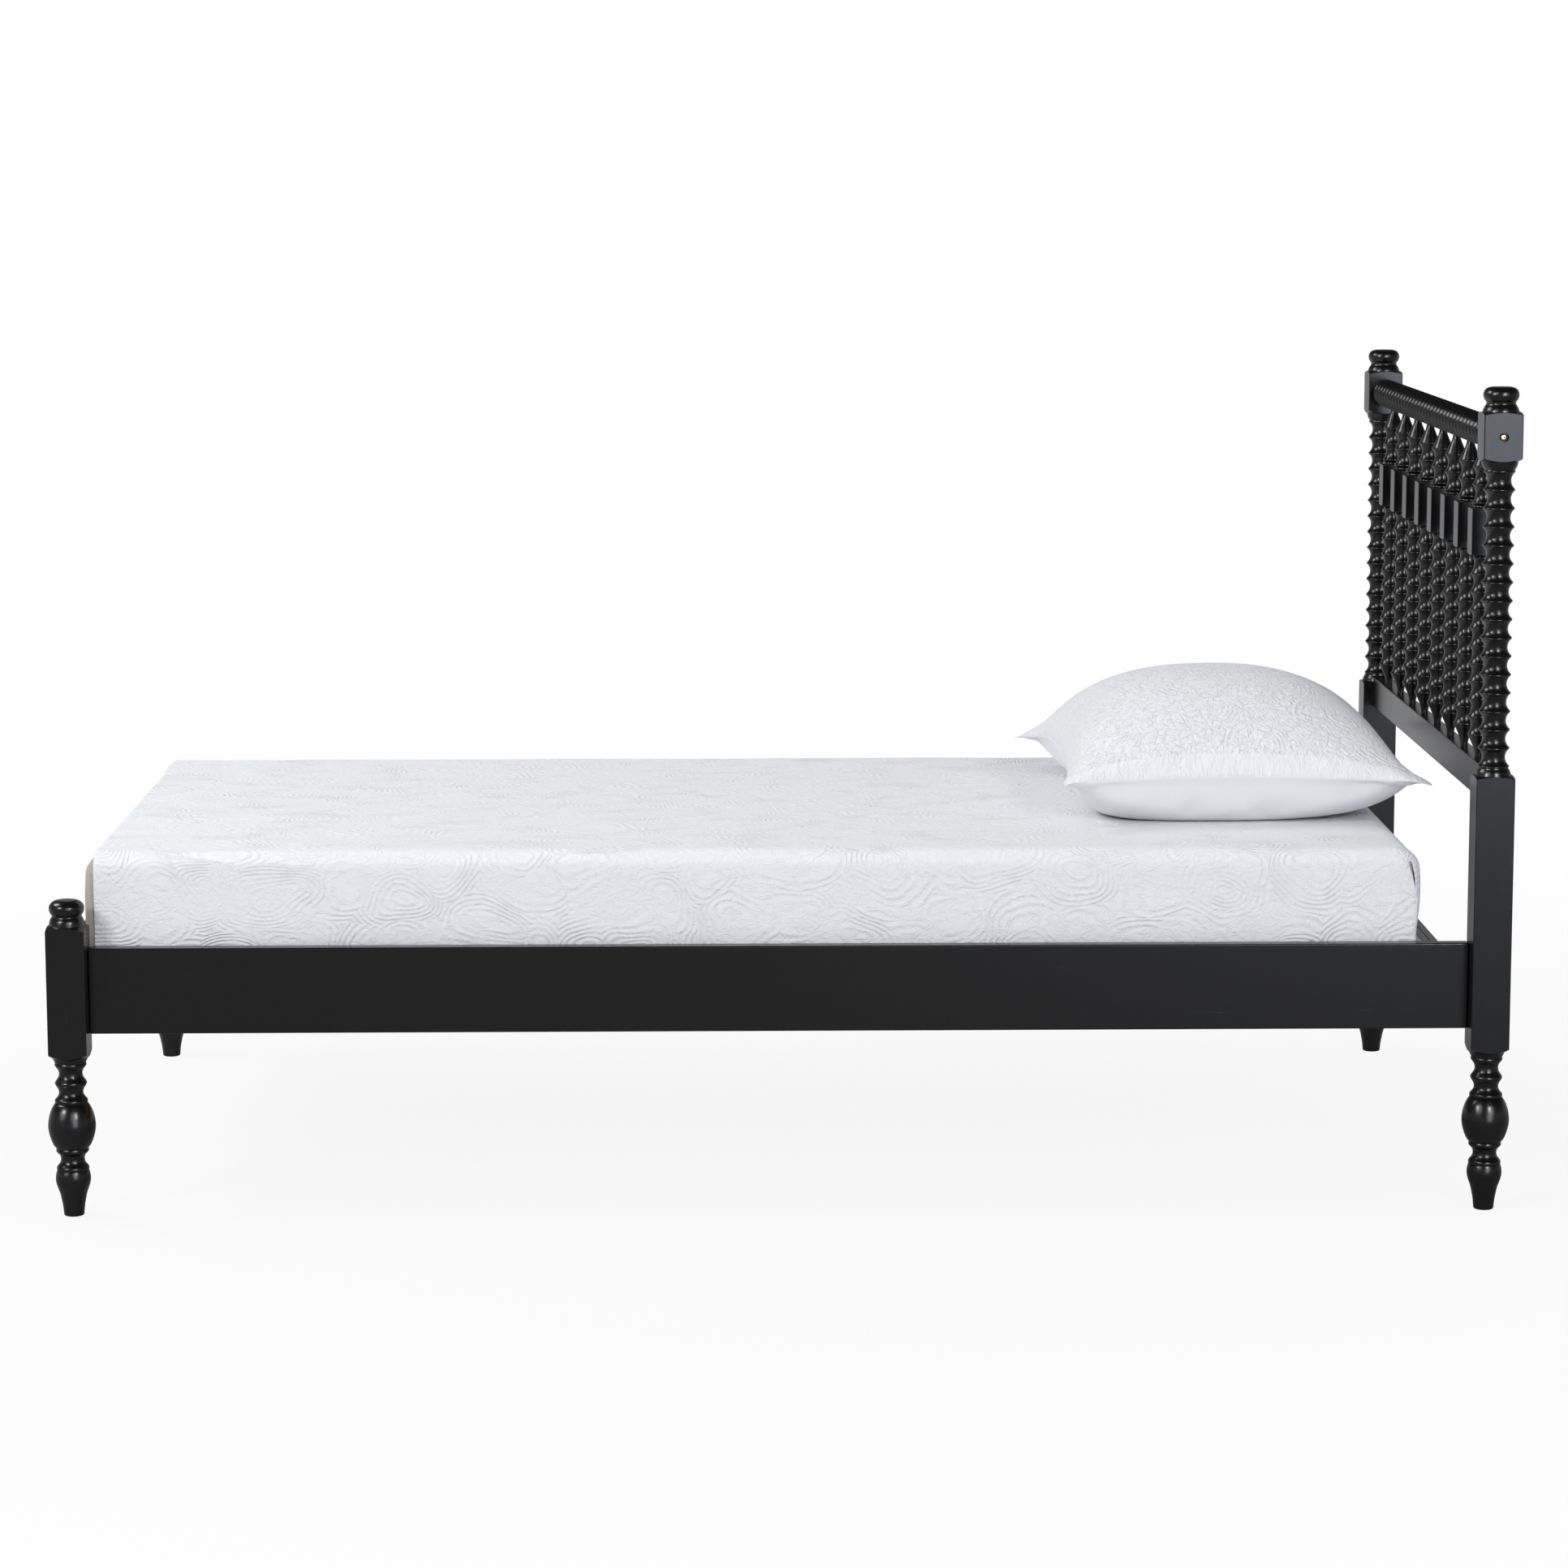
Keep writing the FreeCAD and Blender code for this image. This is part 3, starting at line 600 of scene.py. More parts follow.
# ---- materials -----------------------------------------------------------
def surfaced(tree, made, height_mm, **constants):
    """The shader itself, fed by an effect's outputs; constants sit on its own sockets."""
    shader = node(tree, "ShaderNodeBsdfPrincipled", **constants)
    tree.links.new(made.outputs["Color"], shader.inputs["Base Color"])
    if "Roughness" in made.outputs:
        tree.links.new(made.outputs["Roughness"], shader.inputs["Roughness"])
    relief = {"Height": made.outputs["Height"], "Distance": height_mm * MM, "Strength": 1.0}
    bump = node(tree, "ShaderNodeBump", **relief)
    tree.links.new(bump.outputs["Normal"], shader.inputs["Normal"])
    out = tree.nodes.new("ShaderNodeOutputMaterial")
    tree.links.new(shader.outputs["BSDF"], out.inputs["Surface"])


def finish(name, effect_name, values, scale, height_mm, flat=False, **constants):
    """A material, made once, that reads Object coordinates or the flat cloth's own map."""
    if name in bpy.data.materials:
        return bpy.data.materials[name]
    material, tree = cleared(name)
    if flat:
        where = node(tree, "ShaderNodeUVMap", uv_map="flat_cloth").outputs["UV"]
    else:
        where = node(tree, "ShaderNodeTexCoord").outputs["Object"]
    where = node(tree, "ShaderNodeMapping", Vector=where, Scale=scale).outputs[0]
    made = node(tree, "ShaderNodeGroup", node_tree=effect(effect_name), Vector=where, **values)
    surfaced(tree, made, height_mm, **constants)
    return material


def colour(name):
    return (*getattr(bpy.context.scene.bed_finishes, name), 1)


PLAIN = (1, 1, 1)
GRAIN = {"X": (9, 260, 260), "Y": (260, 9, 260), "Z": (260, 260, 9)}


def black_paint(direction):
    """Black satin paint over wood, with its grain along X, Y or Z."""
    values = {"Paint": colour("paint"), "Grain": 0.4}
    name = f"black_paint_{direction}"
    return finish(name, "Painted wood", values, GRAIN[direction], 0.002, IOR=1.5)


def bare_timber(direction):
    """Bare softwood, with rings 14 times as wide as the grain under the paint."""
    scale = tuple(s / 14 for s in GRAIN[direction])
    values = {"Wood": colour("pine")}
    name = f"bare_timber_{direction}"
    return finish(name, "Bare timber", values, scale, 0.15, Specular_IOR_Level=0.3)


def metal(name):
    values = {"Metal": colour(name)}
    return finish(f"{name}_metal", "Machined metal", values, PLAIN, 0.02, Metallic=1.0)


def cotton_values(tint_name, pattern):
    return {"Cloth": colour(tint_name), **dict(zip(PATTERN, pattern))}


def quilted_cotton(name, tint_name, pattern, height_mm, stretch=PLAIN):
    """Cotton that follows the flat cloth; the pattern goes from Scrolls to Crinkle."""
    values = cotton_values(tint_name, pattern)
    soft = {"Roughness": 0.92, "Specular_IOR_Level": 0.2}
    sheen = {"Sheen_Weight": 0.15, "Sheen_Roughness": 0.6}
    return finish(name, "Quilted cotton", values, stretch, height_mm, flat=True, **soft, **sheen)


def knitted(name, tint_name):
    values = cotton_values(tint_name, (5.0, 3.0, 0.1, 40.0, 0.25))
    soft = {"Roughness": 0.95, "Specular_IOR_Level": 0.15, "Sheen_Weight": 0.1}
    return finish(name, "Quilted cotton", values, PLAIN, 0.5, **soft)


# ---- profiles of the turnings, (height, radius) in millimetres -----------
LEG = [
    [(0, 0), (0, 12.2)],
    rounded([(0, 12.2), (0.6, 13.5), (2, 14.2)], 0.7),
    rounded(
        [(2, 14.2), (10, 14.9), (18, 16.0), (24, 17.2), (30, 18.4), (35, 19.9), (40, 21.7),
         (45, 23.3), (50, 24.3), (53, 24.5), (58, 24.1), (62, 23.3), (65, 22.3)]
    ),
    rounded([(65, 21.9), (66.6, 22.5), (68.5, 22.6), (70.4, 22.2), (72, 21.0)], 1.2),
    rounded([(72, 20.9), (74.5, 18.9), (77, 17.4), (81.5, 16.5), (86, 17.4), (88.5, 19),
             (90.5, 20.9)], 1.5),
    rounded([(90.7, 21.1), (92, 22.4), (93.8, 22.8), (95.6, 22.6), (97, 22.0)], 1.0),
    rounded(
        [(97, 22.2), (100, 25), (103, 26.8), (107, 28.6), (112, 30.3), (118, 31.9), (124, 32.9),
         (130, 33.2), (136, 32.6), (142, 31.6), (147, 30.2), (152, 28.4), (156, 26.4),
         (160, 23.8), (161, 22.7)]
    ),
    rounded([(161, 22.1), (162.4, 22.8), (164.5, 23), (166.6, 22.6), (168, 21.4)], 1.0),
    rounded([(168, 21.1), (171, 18.9), (174, 17.4), (177, 16.9), (180, 17.4), (182, 18.3),
             (185, 20), (187, 21.3)], 1.5),
    rounded([(187.2, 21.2), (188.4, 22.0), (189.8, 22.3), (191.4, 22.0), (193, 21.1)], 1.0),
    rounded([(193, 21.0), (195, 19.6), (197, 18.3), (199, 17.3), (204, 16.3), (208, 17.3),
             (210.5, 18.6), (212, 19.9), (214, 21.2)], 1.5),
    rounded([(214, 21.2), (215, 22.0), (216.3, 22.3), (217.6, 22.1), (218.8, 21.5)], 1.0),
    rounded([(218.8, 21.6), (222, 23), (225, 24.6), (227, 26.0)], 1.5),
]


FOOT_SQUARE = [[(227, 26.0), (234, 38.4), (236, 43), (405.5, 43), (407.5, 38.4), (414, 25.1)]]
FOOT_BALL = [
    rounded([(414, 25.0), (417.4, 24.5), (419.7, 24), (422, 23.2), (424.3, 21.9), (427, 20.5),
             (428.6, 21.1), (430, 22.3), (432.3, 23.5), (434.6, 24.2), (437.5, 24.6),
             (440.5, 24.3), (443.4, 22.9), (446.3, 20.2), (448.3, 16.6), (449.2, 12.5)], 1.3),
    [(449.2, 0)],
]
HEAD_SQUARE = [[(227, 26.0), (234, 38.4), (236, 43), (613, 43), (614.8, 38.4), (618.5, 25.5)]]
HEAD_BASE = [rounded([(618.5, 25.3), (620.6, 24.6), (622.9, 23.9), (625.2, 22.9), (627.5, 21.4),
                      (629.2, 20.9)], 1.5)]
HEAD_COLLAR = [
    rounded([(1039, 20.6), (1039.8, 21.5), (1040.7, 21.7), (1041.8, 21.6), (1043, 21.0)], 0.9),
    rounded([(1043, 21.2), (1045.2, 22.5), (1047.4, 23.8), (1049.6, 24.6), (1052, 25.1),
             (1054.5, 25.6)], 1.5),
    [(1054.5, 25.7), (1060, 38.4), (1062, 43), (1116.6, 43), (1118.6, 38.4), (1122.8, 25.3)],
]
HEAD_BALL = [
    rounded([(1122.8, 25.2), (1125.6, 24.5), (1127.9, 23.5), (1130.1, 22.2), (1132.3, 20.8),
             (1134.6, 20.2), (1136.8, 21.1), (1139, 22.8), (1141.3, 23.9), (1143.5, 24.5),
             (1145.7, 24.75), (1149, 24.15), (1151.3, 23.2), (1153.5, 21.5), (1155.4, 18.6),
             (1156.7, 14)], 1.3),
    [(1156.7, 0)],
]


def head_post_cuts(crest, cove):
    return (
        LEG
        + HEAD_SQUARE
        + HEAD_BASE
        + bobbins(630.9, 1015.3, 16, crest, cove)
        + [hollow(1017.0, crest - 1.0, 1039, 20.6, cove)]
        + HEAD_COLLAR
        + HEAD_BALL
    )


def spindle_cuts(crest, cove):
    edge = crest - 1.0
    return (
        [
            [(611.4, 0), (611.4, 4.6), (612, 5), (626.4, 5)],
            rounded([(626.4, 5.2), (633, 5.9), (641, 8.0), (649, 11.4), (655, 14.2),
                     (657.2, edge)], 2.0),
        ]
        + bobbins(658.9, 887.5, 10, crest, cove)
        + [
            hollow(889.2, edge, 908.3, 12.4, cove),
            rounded([(908.3, 12.5), (909, 13.0), (910, 13.2), (911.2, 13.0), (912, 12.4)], 0.8),
            [(912, 12.6), (914.6, 19.0), (916, 27.2), (917, 30), (978, 30), (979, 27.2),
             (980.2, 19.0), (980.8, 12.7)],
            rounded([(980.8, 12.7), (981.4, 13.1), (982.2, 13.2), (983.2, 12.8)], 0.8),
            rounded([(983.2, 12.8), (984.6, 13.5), (986, edge)], 1.0),
        ]
        + bobbins(987.7, 1038.5, 3, crest, cove)
        + [
            rounded([(1040.2, edge), (1046, 12.6), (1054, 9.0), (1061, 6.4), (1066, 5.4),
                     (1070, 5.0)], 2.5),
            [(1070, 5), (1077, 5), (1077.5, 4.6), (1077.5, 0)],
        ]
    )


# ---- the frame, in millimetres -------------------------------------------
POST_HALF = 27.0  # from a post's axis to the shoulder of a rail
BLANK_BOTTOM, LEG_TOP, BLANK_TOP = -2.0, 226.6, 1160.0
SPINDLES = 8
RING_DEEP = 5.5
RING_INSET = 17.8  # first ring from the end of the top rail
CLEAR = 1.0  # how far outside a face its cutter starts
SINK_R, SINK_DEEP, BORE_R = 6.9, 6.0, 3.3
BOLT_HEAD_R, BOLT_HEAD_HIGH = 5.0, 3.3
SOCKET_R, SOCKET_END = 2.2, 0.6  # the hex socket ends this far under the head
KEY_LONG = 5.0  # the key that cuts it
SIDE_BOLT_LONG, TOP_BOLT_LONG = 90.0, 70.0


def bolt_holes(piece, x, y, at_head):
    """Counterbored holes for the bolts of the side rail and, at the head, of the top rail."""
    out_x, out_y = math.copysign(1, x), math.copysign(1, y)
    half = bpy.context.scene.bed_turnings.post_side / MM / 2
    bolt_y = span("side_rail_bolts", 1)[1] - BOLT_HEAD_R
    place = (x + out_x * (half + CLEAR), out_y * bolt_y, middle("side_rail_bolts", 2))
    bores = [(place, (-out_x, 0, 0))]
    if at_head:
        z = middle("top_rail_bolts", 2)
        bores.append(((x, y + out_y * (half + CLEAR), z), (0, -out_y, 0)))
    for place, inward in bores:
        joined(piece, cylinder(SINK_R, SINK_DEEP + CLEAR, place, inward, 40), "DIFFERENCE")
        joined(piece, cylinder(BORE_R, 2 * (half + CLEAR), place, inward, 24), "DIFFERENCE")


def post(name, x, y, at_head):
    sizes = bpy.context.scene.bed_turnings
    if at_head:
        cuts = head_post_cuts(sizes.post_crest / MM, sizes.post_cove / MM)
    else:
        cuts = LEG + FOOT_SQUARE + FOOT_BALL
    bm = turning(cuts, sizes.facets)
    bmesh.ops.translate(bm, verts=bm.verts, vec=(x, y, 0))
    piece = laid_mesh("turned_" + name, bm)
    side, ease = sizes.post_side / MM, sizes.arris / MM
    stock = square_stock((x, y), side, BLANK_BOTTOM, BLANK_TOP, ease, wide_below=LEG_TOP)
    joined(piece, stock, "INTERSECT")
    bolt_holes(piece, x, y, at_head)
    in_metres(piece)
    shaded(piece)
    planed(piece)
    painted(piece, name, "Z")


class BED_OT_foot_posts(bpy.types.Operator):
    """Turns the two foot posts with their ball finials"""

    bl_idname = "bed.foot_posts"
    bl_label = "Foot posts"

    def execute(self, context):
        post("foot_post_near", -POST_X, -POST_Y, False)
        post("foot_post_far", -POST_X, POST_Y, False)
        return {"FINISHED"}


class BED_OT_head_posts(bpy.types.Operator):
    """Turns the two head posts with their bobbins, blocks and ball finials"""

    bl_idname = "bed.head_posts"
    bl_label = "Head posts"

    def execute(self, context):
        post("head_post_near", POST_X, -POST_Y, True)
        post("head_post_far", POST_X, POST_Y, True)
        return {"FINISHED"}


class BED_OT_spindles(bpy.types.Operator):
    """Turns one spindle and sets eight along the headboard"""

    bl_idname = "bed.spindles"
    bl_label = "Spindles"

    def execute(self, context):
        sizes = context.scene.bed_turnings
        cuts = spindle_cuts(sizes.spindle_crest / MM, sizes.spindle_cove / MM)
        pattern = laid_mesh("spindle_pattern", turning(cuts, max(24, int(sizes.facets * 0.7))))
        stock = square_stock((0, 0), sizes.spindle_block / MM, 600, 1090, 1.0)
        joined(pattern, stock, "INTERSECT")
        in_metres(pattern)
        shaded(pattern)
        for number in range(1, SPINDLES + 1):
            name = f"headboard_spindle_{number}"
            piece = bpy.data.objects.new("turned_" + name, pattern.data.copy())
            context.scene.collection.objects.link(piece)
            place = Vector((middle(name, 0), middle(name, 1), 0)) * MM
            piece.data.transform(Matrix.Translation(place))
            planed(piece)
            painted(piece, name, "Z")
        bpy.data.objects.remove(pattern)
        return {"FINISHED"}


class BED_OT_top_rail(bpy.types.Operator):
    """Turns the ringed top rail of the headboard"""

    bl_idname = "bed.top_rail"
    bl_label = "Top rail"

    def execute(self, context):
        sizes = context.scene.bed_turnings
        crest = sizes.ring_crest / MM
        cove = crest - RING_DEEP
        neck = cove + 0.6
        end = span("headboard_top_rail", 1)[1]
        first = RING_INSET - end
        # (distance before the first ring, radius)
        lead = [(14.5, cove), (8, cove + 1.2), (BEAD_HALF, crest - 1.05)]
        near = [(-end, neck)] + [(first - d, r) for d, r in lead]
        far = [(d - first, r) for d, r in reversed(lead)] + [(end, neck)]
        cuts = (
            [[(-end, 0), (-end, neck)], rounded(near)]
            + bobbins(first, -first, sizes.rings, crest, cove)
            + [rounded(far), [(end, 0)]]
        )
        bm = turning(cuts, 56)
        bmesh.ops.rotate(bm, verts=bm.verts, matrix=Matrix.Rotation(-math.pi / 2, 3, "X"))
        place = (middle("headboard_top_rail", 0), 0, middle("headboard_top_rail", 2))
        bmesh.ops.translate(bm, verts=bm.verts, vec=place)
        piece = laid_mesh("ringed_top_rail", bm)
        in_metres(piece)
        shaded(piece)
        painted(piece, "headboard_top_rail", "Y")
        return {"FINISHED"}


def rail(name, node_name, axis, tenons, ease):
    """A planed rail between two posts along axis 0 or 1; each tenon is given by half its
    thickness, the height of its middle and half its own height."""
    (back, front), (bottom, top) = span(node_name, 1 - axis), span(node_name, 2)
    reach, shoulder = span(node_name, axis)[1], (POST_X, POST_Y)[axis] - POST_HALF
    mid = (back + front) / 2

    def corner(along, across, z):
        return (along, across, z) if axis == 0 else (across, along, z)

    low, high = corner(-shoulder, back, bottom), corner(shoulder, front, top)
    piece = laid_mesh(name, timber(low, high, ease))
    for half, z, half_high in tenons:
        low = corner(-reach, mid - half, z - half_high)
        high = corner(reach, mid + half, z + half_high)
        joined(piece, timber(low, high, 0), "UNION")
    in_metres(piece)
    shaded(piece)
    planed(piece)
    painted(piece, node_name, "XY"[axis])


class BED_OT_rails(bpy.types.Operator):
    """Planes the two side rails, the foot rail and the headboard's lower rail"""

    bl_idname = "bed.rails"
    bl_label = "Rails"

    def execute(self, context):
        ease = context.scene.bed_turnings.arris / MM * 1.4
        for name in ("side_rail_near", "side_rail_far"):
            rail("planed_" + name, name, 0, [(5, middle(name, 2), 35)], ease)
        rail("planed_foot_rail", "foot_rail", 1, [(5, 284.25, 16), (5, 352.25, 16)], ease)
        rail("planed_lower_rail", "headboard_lower_rail", 1, [(6, 598, 12)], ease)
        return {"FINISHED"}


class BED_OT_support(bpy.types.Operator):
    """Paints the low cross rail and its cleat, and finishes the ledgers and slats"""

    bl_idname = "bed.support"
    bl_label = "Cross rail, ledgers and slats"

    def execute(self, context):
        for name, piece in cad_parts.items():
            if name in ("head_cross_rail", "head_cleat"):
                material = black_paint("Y")
            elif name.startswith("slat_ledger"):
                material = bare_timber("X")
            elif name.startswith("slat_"):
                material = bare_timber("Y")
            else:
                continue
            for slot in piece.material_slots:
                slot.material = material
        return {"FINISHED"}


def bolt(place, inward, length):
    """Button-head bolt with a hex socket; place is under the head, in millimetres."""
    head = -BOLT_HEAD_HIGH
    cuts = [
        [(head, 0), (head, 2.6)],
        rounded([(head, 2.6), (-2.9, 3.7), (-1.9, 4.6), (-0.5, BOLT_HEAD_R), (0, 4.9)], 0.6),
        [(0, 3.0), (length - 0.6, 3.0), (length, 2.4), (length, 0)],
    ]
    piece = laid_mesh("bolt_blank", turning(cuts, 32))
    key = cylinder(SOCKET_R, KEY_LONG, (0, 0, SOCKET_END - KEY_LONG), UP, 6)
    joined(piece, key, "DIFFERENCE")
    turn = UP.rotation_difference(Vector(inward)).to_matrix().to_4x4()
    piece.data.transform(Matrix.Scale(MM, 4) @ Matrix.Translation(place) @ turn)
    return piece


def bolt_set(name, node_name, places, length):
    """Like bolts as one piece; each place comes with the direction that its bolt points in."""
    bm = bmesh.new()
    for place, inward in places:
        made = bolt(place, inward, length)
        bm.from_mesh(made.data)
        bpy.data.objects.remove(made)
    piece = laid_mesh(name, bm)
    shaded(piece)
    fitted(piece, "bed_frame", "brass_bolts", node_name, metal("brass"))


class BED_OT_bolts(bpy.types.Operator):
    """Sets the brass bolts, and finishes the barrel nuts and inserts they screw into"""

    bl_idname = "bed.bolts"
    bl_label = "Bolts and nuts"

    def execute(self, context):
        name, ends = "side_rail_bolts", (-1, 1)
        x = span(name, 0)[1] - BOLT_HEAD_HIGH
        y, z = span(name, 1)[1] - BOLT_HEAD_R, middle(name, 2)
        places = [((sx * x, sy * y, z), (-sx, 0, 0)) for sx in ends for sy in ends]
        bolt_set("side_rail_button_bolts", name, places, SIDE_BOLT_LONG)
        name = "top_rail_bolts"
        x, z = middle(name, 0), middle(name, 2)
        y = span(name, 1)[1] - BOLT_HEAD_HIGH
        places = [((x, s * y, z), (0, -s, 0)) for s in ends]
        bolt_set("top_rail_button_bolts", name, places, TOP_BOLT_LONG)
        for name, material in (("side_rail_barrel_nuts", "steel"), ("top_rail_inserts", "brass")):
            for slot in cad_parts[name].material_slots:
                slot.material = metal(material)
        return {"FINISHED"}


# ---- bedding, in millimetres ---------------------------------------------
FOOT_CORNER, HEAD_CORNER, RIM = 22, 10, 26  # roundings of the mattress
BORDER = 60.0  # the mattress's ends swell within this of their faces
BEND = 29.0  # radius of the coverlet's bend over the mattress's edges
ARC = BEND * math.pi / 2
SPLIT = 0.78 * BEND  # each head corner is slit from this far past the bends
SEAM_HIGH = 66.0  # the sham's seam over its underside


def ramp(value, start, run):
    """0 up to the start, then evenly up to 1 over the run."""
    return min(1.0, max(0.0, (value - start) / run))


def bell(value, width):
    return math.exp(-((value / width) ** 2))


def soft_wave(place, scale, seed):
    return noise.noise(Vector(place) * scale + Vector((seed, seed * 1.7, -seed)))


def is_rim(edge):
    """Between a level face and an upright one."""
    faces = edge.link_faces
    return not upright(edge) and abs(faces[0].normal.z - faces[1].normal.z) > 0.5


class BED_OT_mattress(bpy.types.Operator):
    """Builds the mattress with its swelling border"""

    bl_idname = "bed.mattress"
    bl_label = "Mattress"

    def execute(self, context):
        low, high = (Vector(corner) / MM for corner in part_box("mattress"))
        swell = context.scene.bed_bedding.swell / MM
        # room for the coverlet inside the solid
        low += Vector((0, 3, 0))
        high -= Vector((3, 3, 0.6))
        bm = timber(low, high, 0)
        corners = [e for e in bm.edges if upright(e)]
        foot = [e for e in corners if e.verts[0].co.x < 0]
        head = [e for e in corners if e.verts[0].co.x > 0]
        eased(bm, foot, FOOT_CORNER, 5)
        eased(bm, head, HEAD_CORNER, 5)
        eased(bm, [e for e in bm.edges if is_rim(e)], RIM, 5)
        for axis, count in ((Vector((1, 0, 0)), 40), (Vector((0, 1, 0)), 20), (UP, 7)):
            start, end = low.dot(axis), high.dot(axis)
            for k in range(1, count):
                place = axis * (start + (end - start) * k / count)
                geom = bm.verts[:] + bm.edges[:] + bm.faces[:]
                bmesh.ops.bisect_plane(bm, geom=geom, plane_co=place, plane_no=axis, dist=0.5)
        bmesh.ops.recalc_face_normals(bm, faces=bm.faces)
        centre, half = (low + high) / 2, (high - low) / 2
        for v in bm.verts:
            t = (v.co.z - low.z) / (high.z - low.z)
            belly = max(0.0, 1 - (2 * t - 1) ** 4)
            side = v.co - centre
            inside = abs(side.x) - half.x + BORDER
            if inside > 0:
                away = Vector((math.copysign(inside, side.x), 0, 0))
                v.co += away / BORDER * (
                    swell * belly * (1 + 0.3 * soft_wave(v.co, 0.012, 3)) - 1.5
                )
        piece = laid_mesh("padded_mattress", bm)
        in_metres(piece)
        piece.data.shade_smooth()
        material = knitted("taupe_knit", "border")
        fitted(piece, "bedding", "mattress_ticking", "mattress", material)
        return {"FINISHED"}


def stepped(places):
    """Even steps between the places a strip of cloth is divided at, each (place, steps to it)."""
    line = [places[0][0]]
    for (a, _), (b, count) in zip(places, places[1:]):
        line += [a + (b - a) * k / count for k in range(1, count + 1)]
    return line


def cloth_grid(us, vs):
    """A grid of quads over flat cloth, with the flat places kept as its UV map."""
    bm = bmesh.new()
    bmesh.ops.create_grid(bm, x_segments=len(us) - 1, y_segments=len(vs) - 1, size=1)
    flat = bm.verts.layers.float_vector.new("flat")
    for v in bm.verts:
        i = round((v.co.x + 1) / 2 * (len(us) - 1))
        j = round((v.co.y + 1) / 2 * (len(vs) - 1))
        v.co = Vector((us[i], vs[j], 0))
        v[flat] = v.co
    return bm, flat


def keep_flat_map(bm, flat):
    uv = bm.loops.layers.uv.new("flat_cloth")
    for face in bm.faces:
        for loop in face.loops:
            loop[uv].uv = loop.vert[flat].xy * MM


def over_edges(a, b):
    """How far cloth that runs a past the head bend and b past a side bend reaches out along
    each, and how far down it comes. Past the slit each flap hangs from its own bend."""
    s = math.hypot(a, b)
    if s == 0:
        return 0.0, 0.0, 0.0
    turn = min(s / BEND, math.pi / 2)
    away = BEND * math.sin(turn)
    down = BEND * (1 - math.cos(turn)) + max(0.0, s - ARC)
    dx, dy = a / s * away, b / s * away
    settle = ramp(s, SPLIT, 28)
    if a <= b:
        dx += settle * (a / SPLIT * BEND - dx)
        dy += settle * (BEND - dy)
    else:
        dy += settle * (b / SPLIT * BEND - dy)
        dx += settle * (BEND - dx)
    return dx, dy, down


def lobe(aside, width, hang):
    """How far the cloth stands out beside a head corner, at a depth under the top."""
    return 7.0 * bell(aside, width) * math.sin(math.pi * ramp(hang, 0, 115)) ** 0.8


def draped(u, w, low, high):
    """Where a point of the flat coverlet lies: u runs to the head, w away from the viewer."""
    head, near, far = high.x - BEND, low.y + BEND, high.y - BEND
    out = -1 if w < (near + far) / 2 else 1
    a, b = max(0.0, u - head), max(0.0, near - w, w - far)
    dx, dy, down = over_edges(a, b)
    x, y, z = min(u, head) + dx, min(max(w, near), far) + out * dy, high.z - down
    hang = max(0.0, high.z - z)
    if a > 0:
        # a soft lobe, with a short crevice under the fold where the corner is slit
        aside = abs(b - SPLIT) if a > b else abs(a - SPLIT)
        if b == 0:
            aside = min(w - near, far - w) + SPLIT
        width = 30 if a > b else 14
        x += lobe(aside, width, hang)
        opened = math.sin(math.pi * ramp(hang, 8, 50))
        fold = 12.0 * ramp(hang, 3, 22) * (1 - 0.8 * ramp(hang, 45, 90))
        if a > b:
            x += 0.5 * opened * bell(aside, width) - fold * max(0.0, 1 - (SPLIT - b) / 15) ** 2
        else:
            x -= (fold + 2.5 * opened) * a / SPLIT
    elif b > 0:
        x += lobe(head - u + SPLIT, 20, hang)
    from_foot = u - low.x
    x -= 5.5 * max(0.0, 1 - from_foot / 60) * bell(w - far + 60, 70)
    # soft unevenness of cloth over a mattress, and puckers by the near foot corner
    if hang < 3:
        z += 1.0 * soft_wave((u, w, 0), 0.006, 4) - 0.4
    elif b > 0:
        y -= out * (1.1 + 1.1 * soft_wave((u, 0, z * 0.35), 0.011, 9)) * min(1.0, hang / 60)
    if out < 0 and b > 0:
        puckers = bell(from_foot, 70) * bell(z - 395, 30)
        y += 2.2 * puckers * (0.6 + 0.8 * math.sin(from_foot * 0.16 + z * 0.05))
    return x, y, z


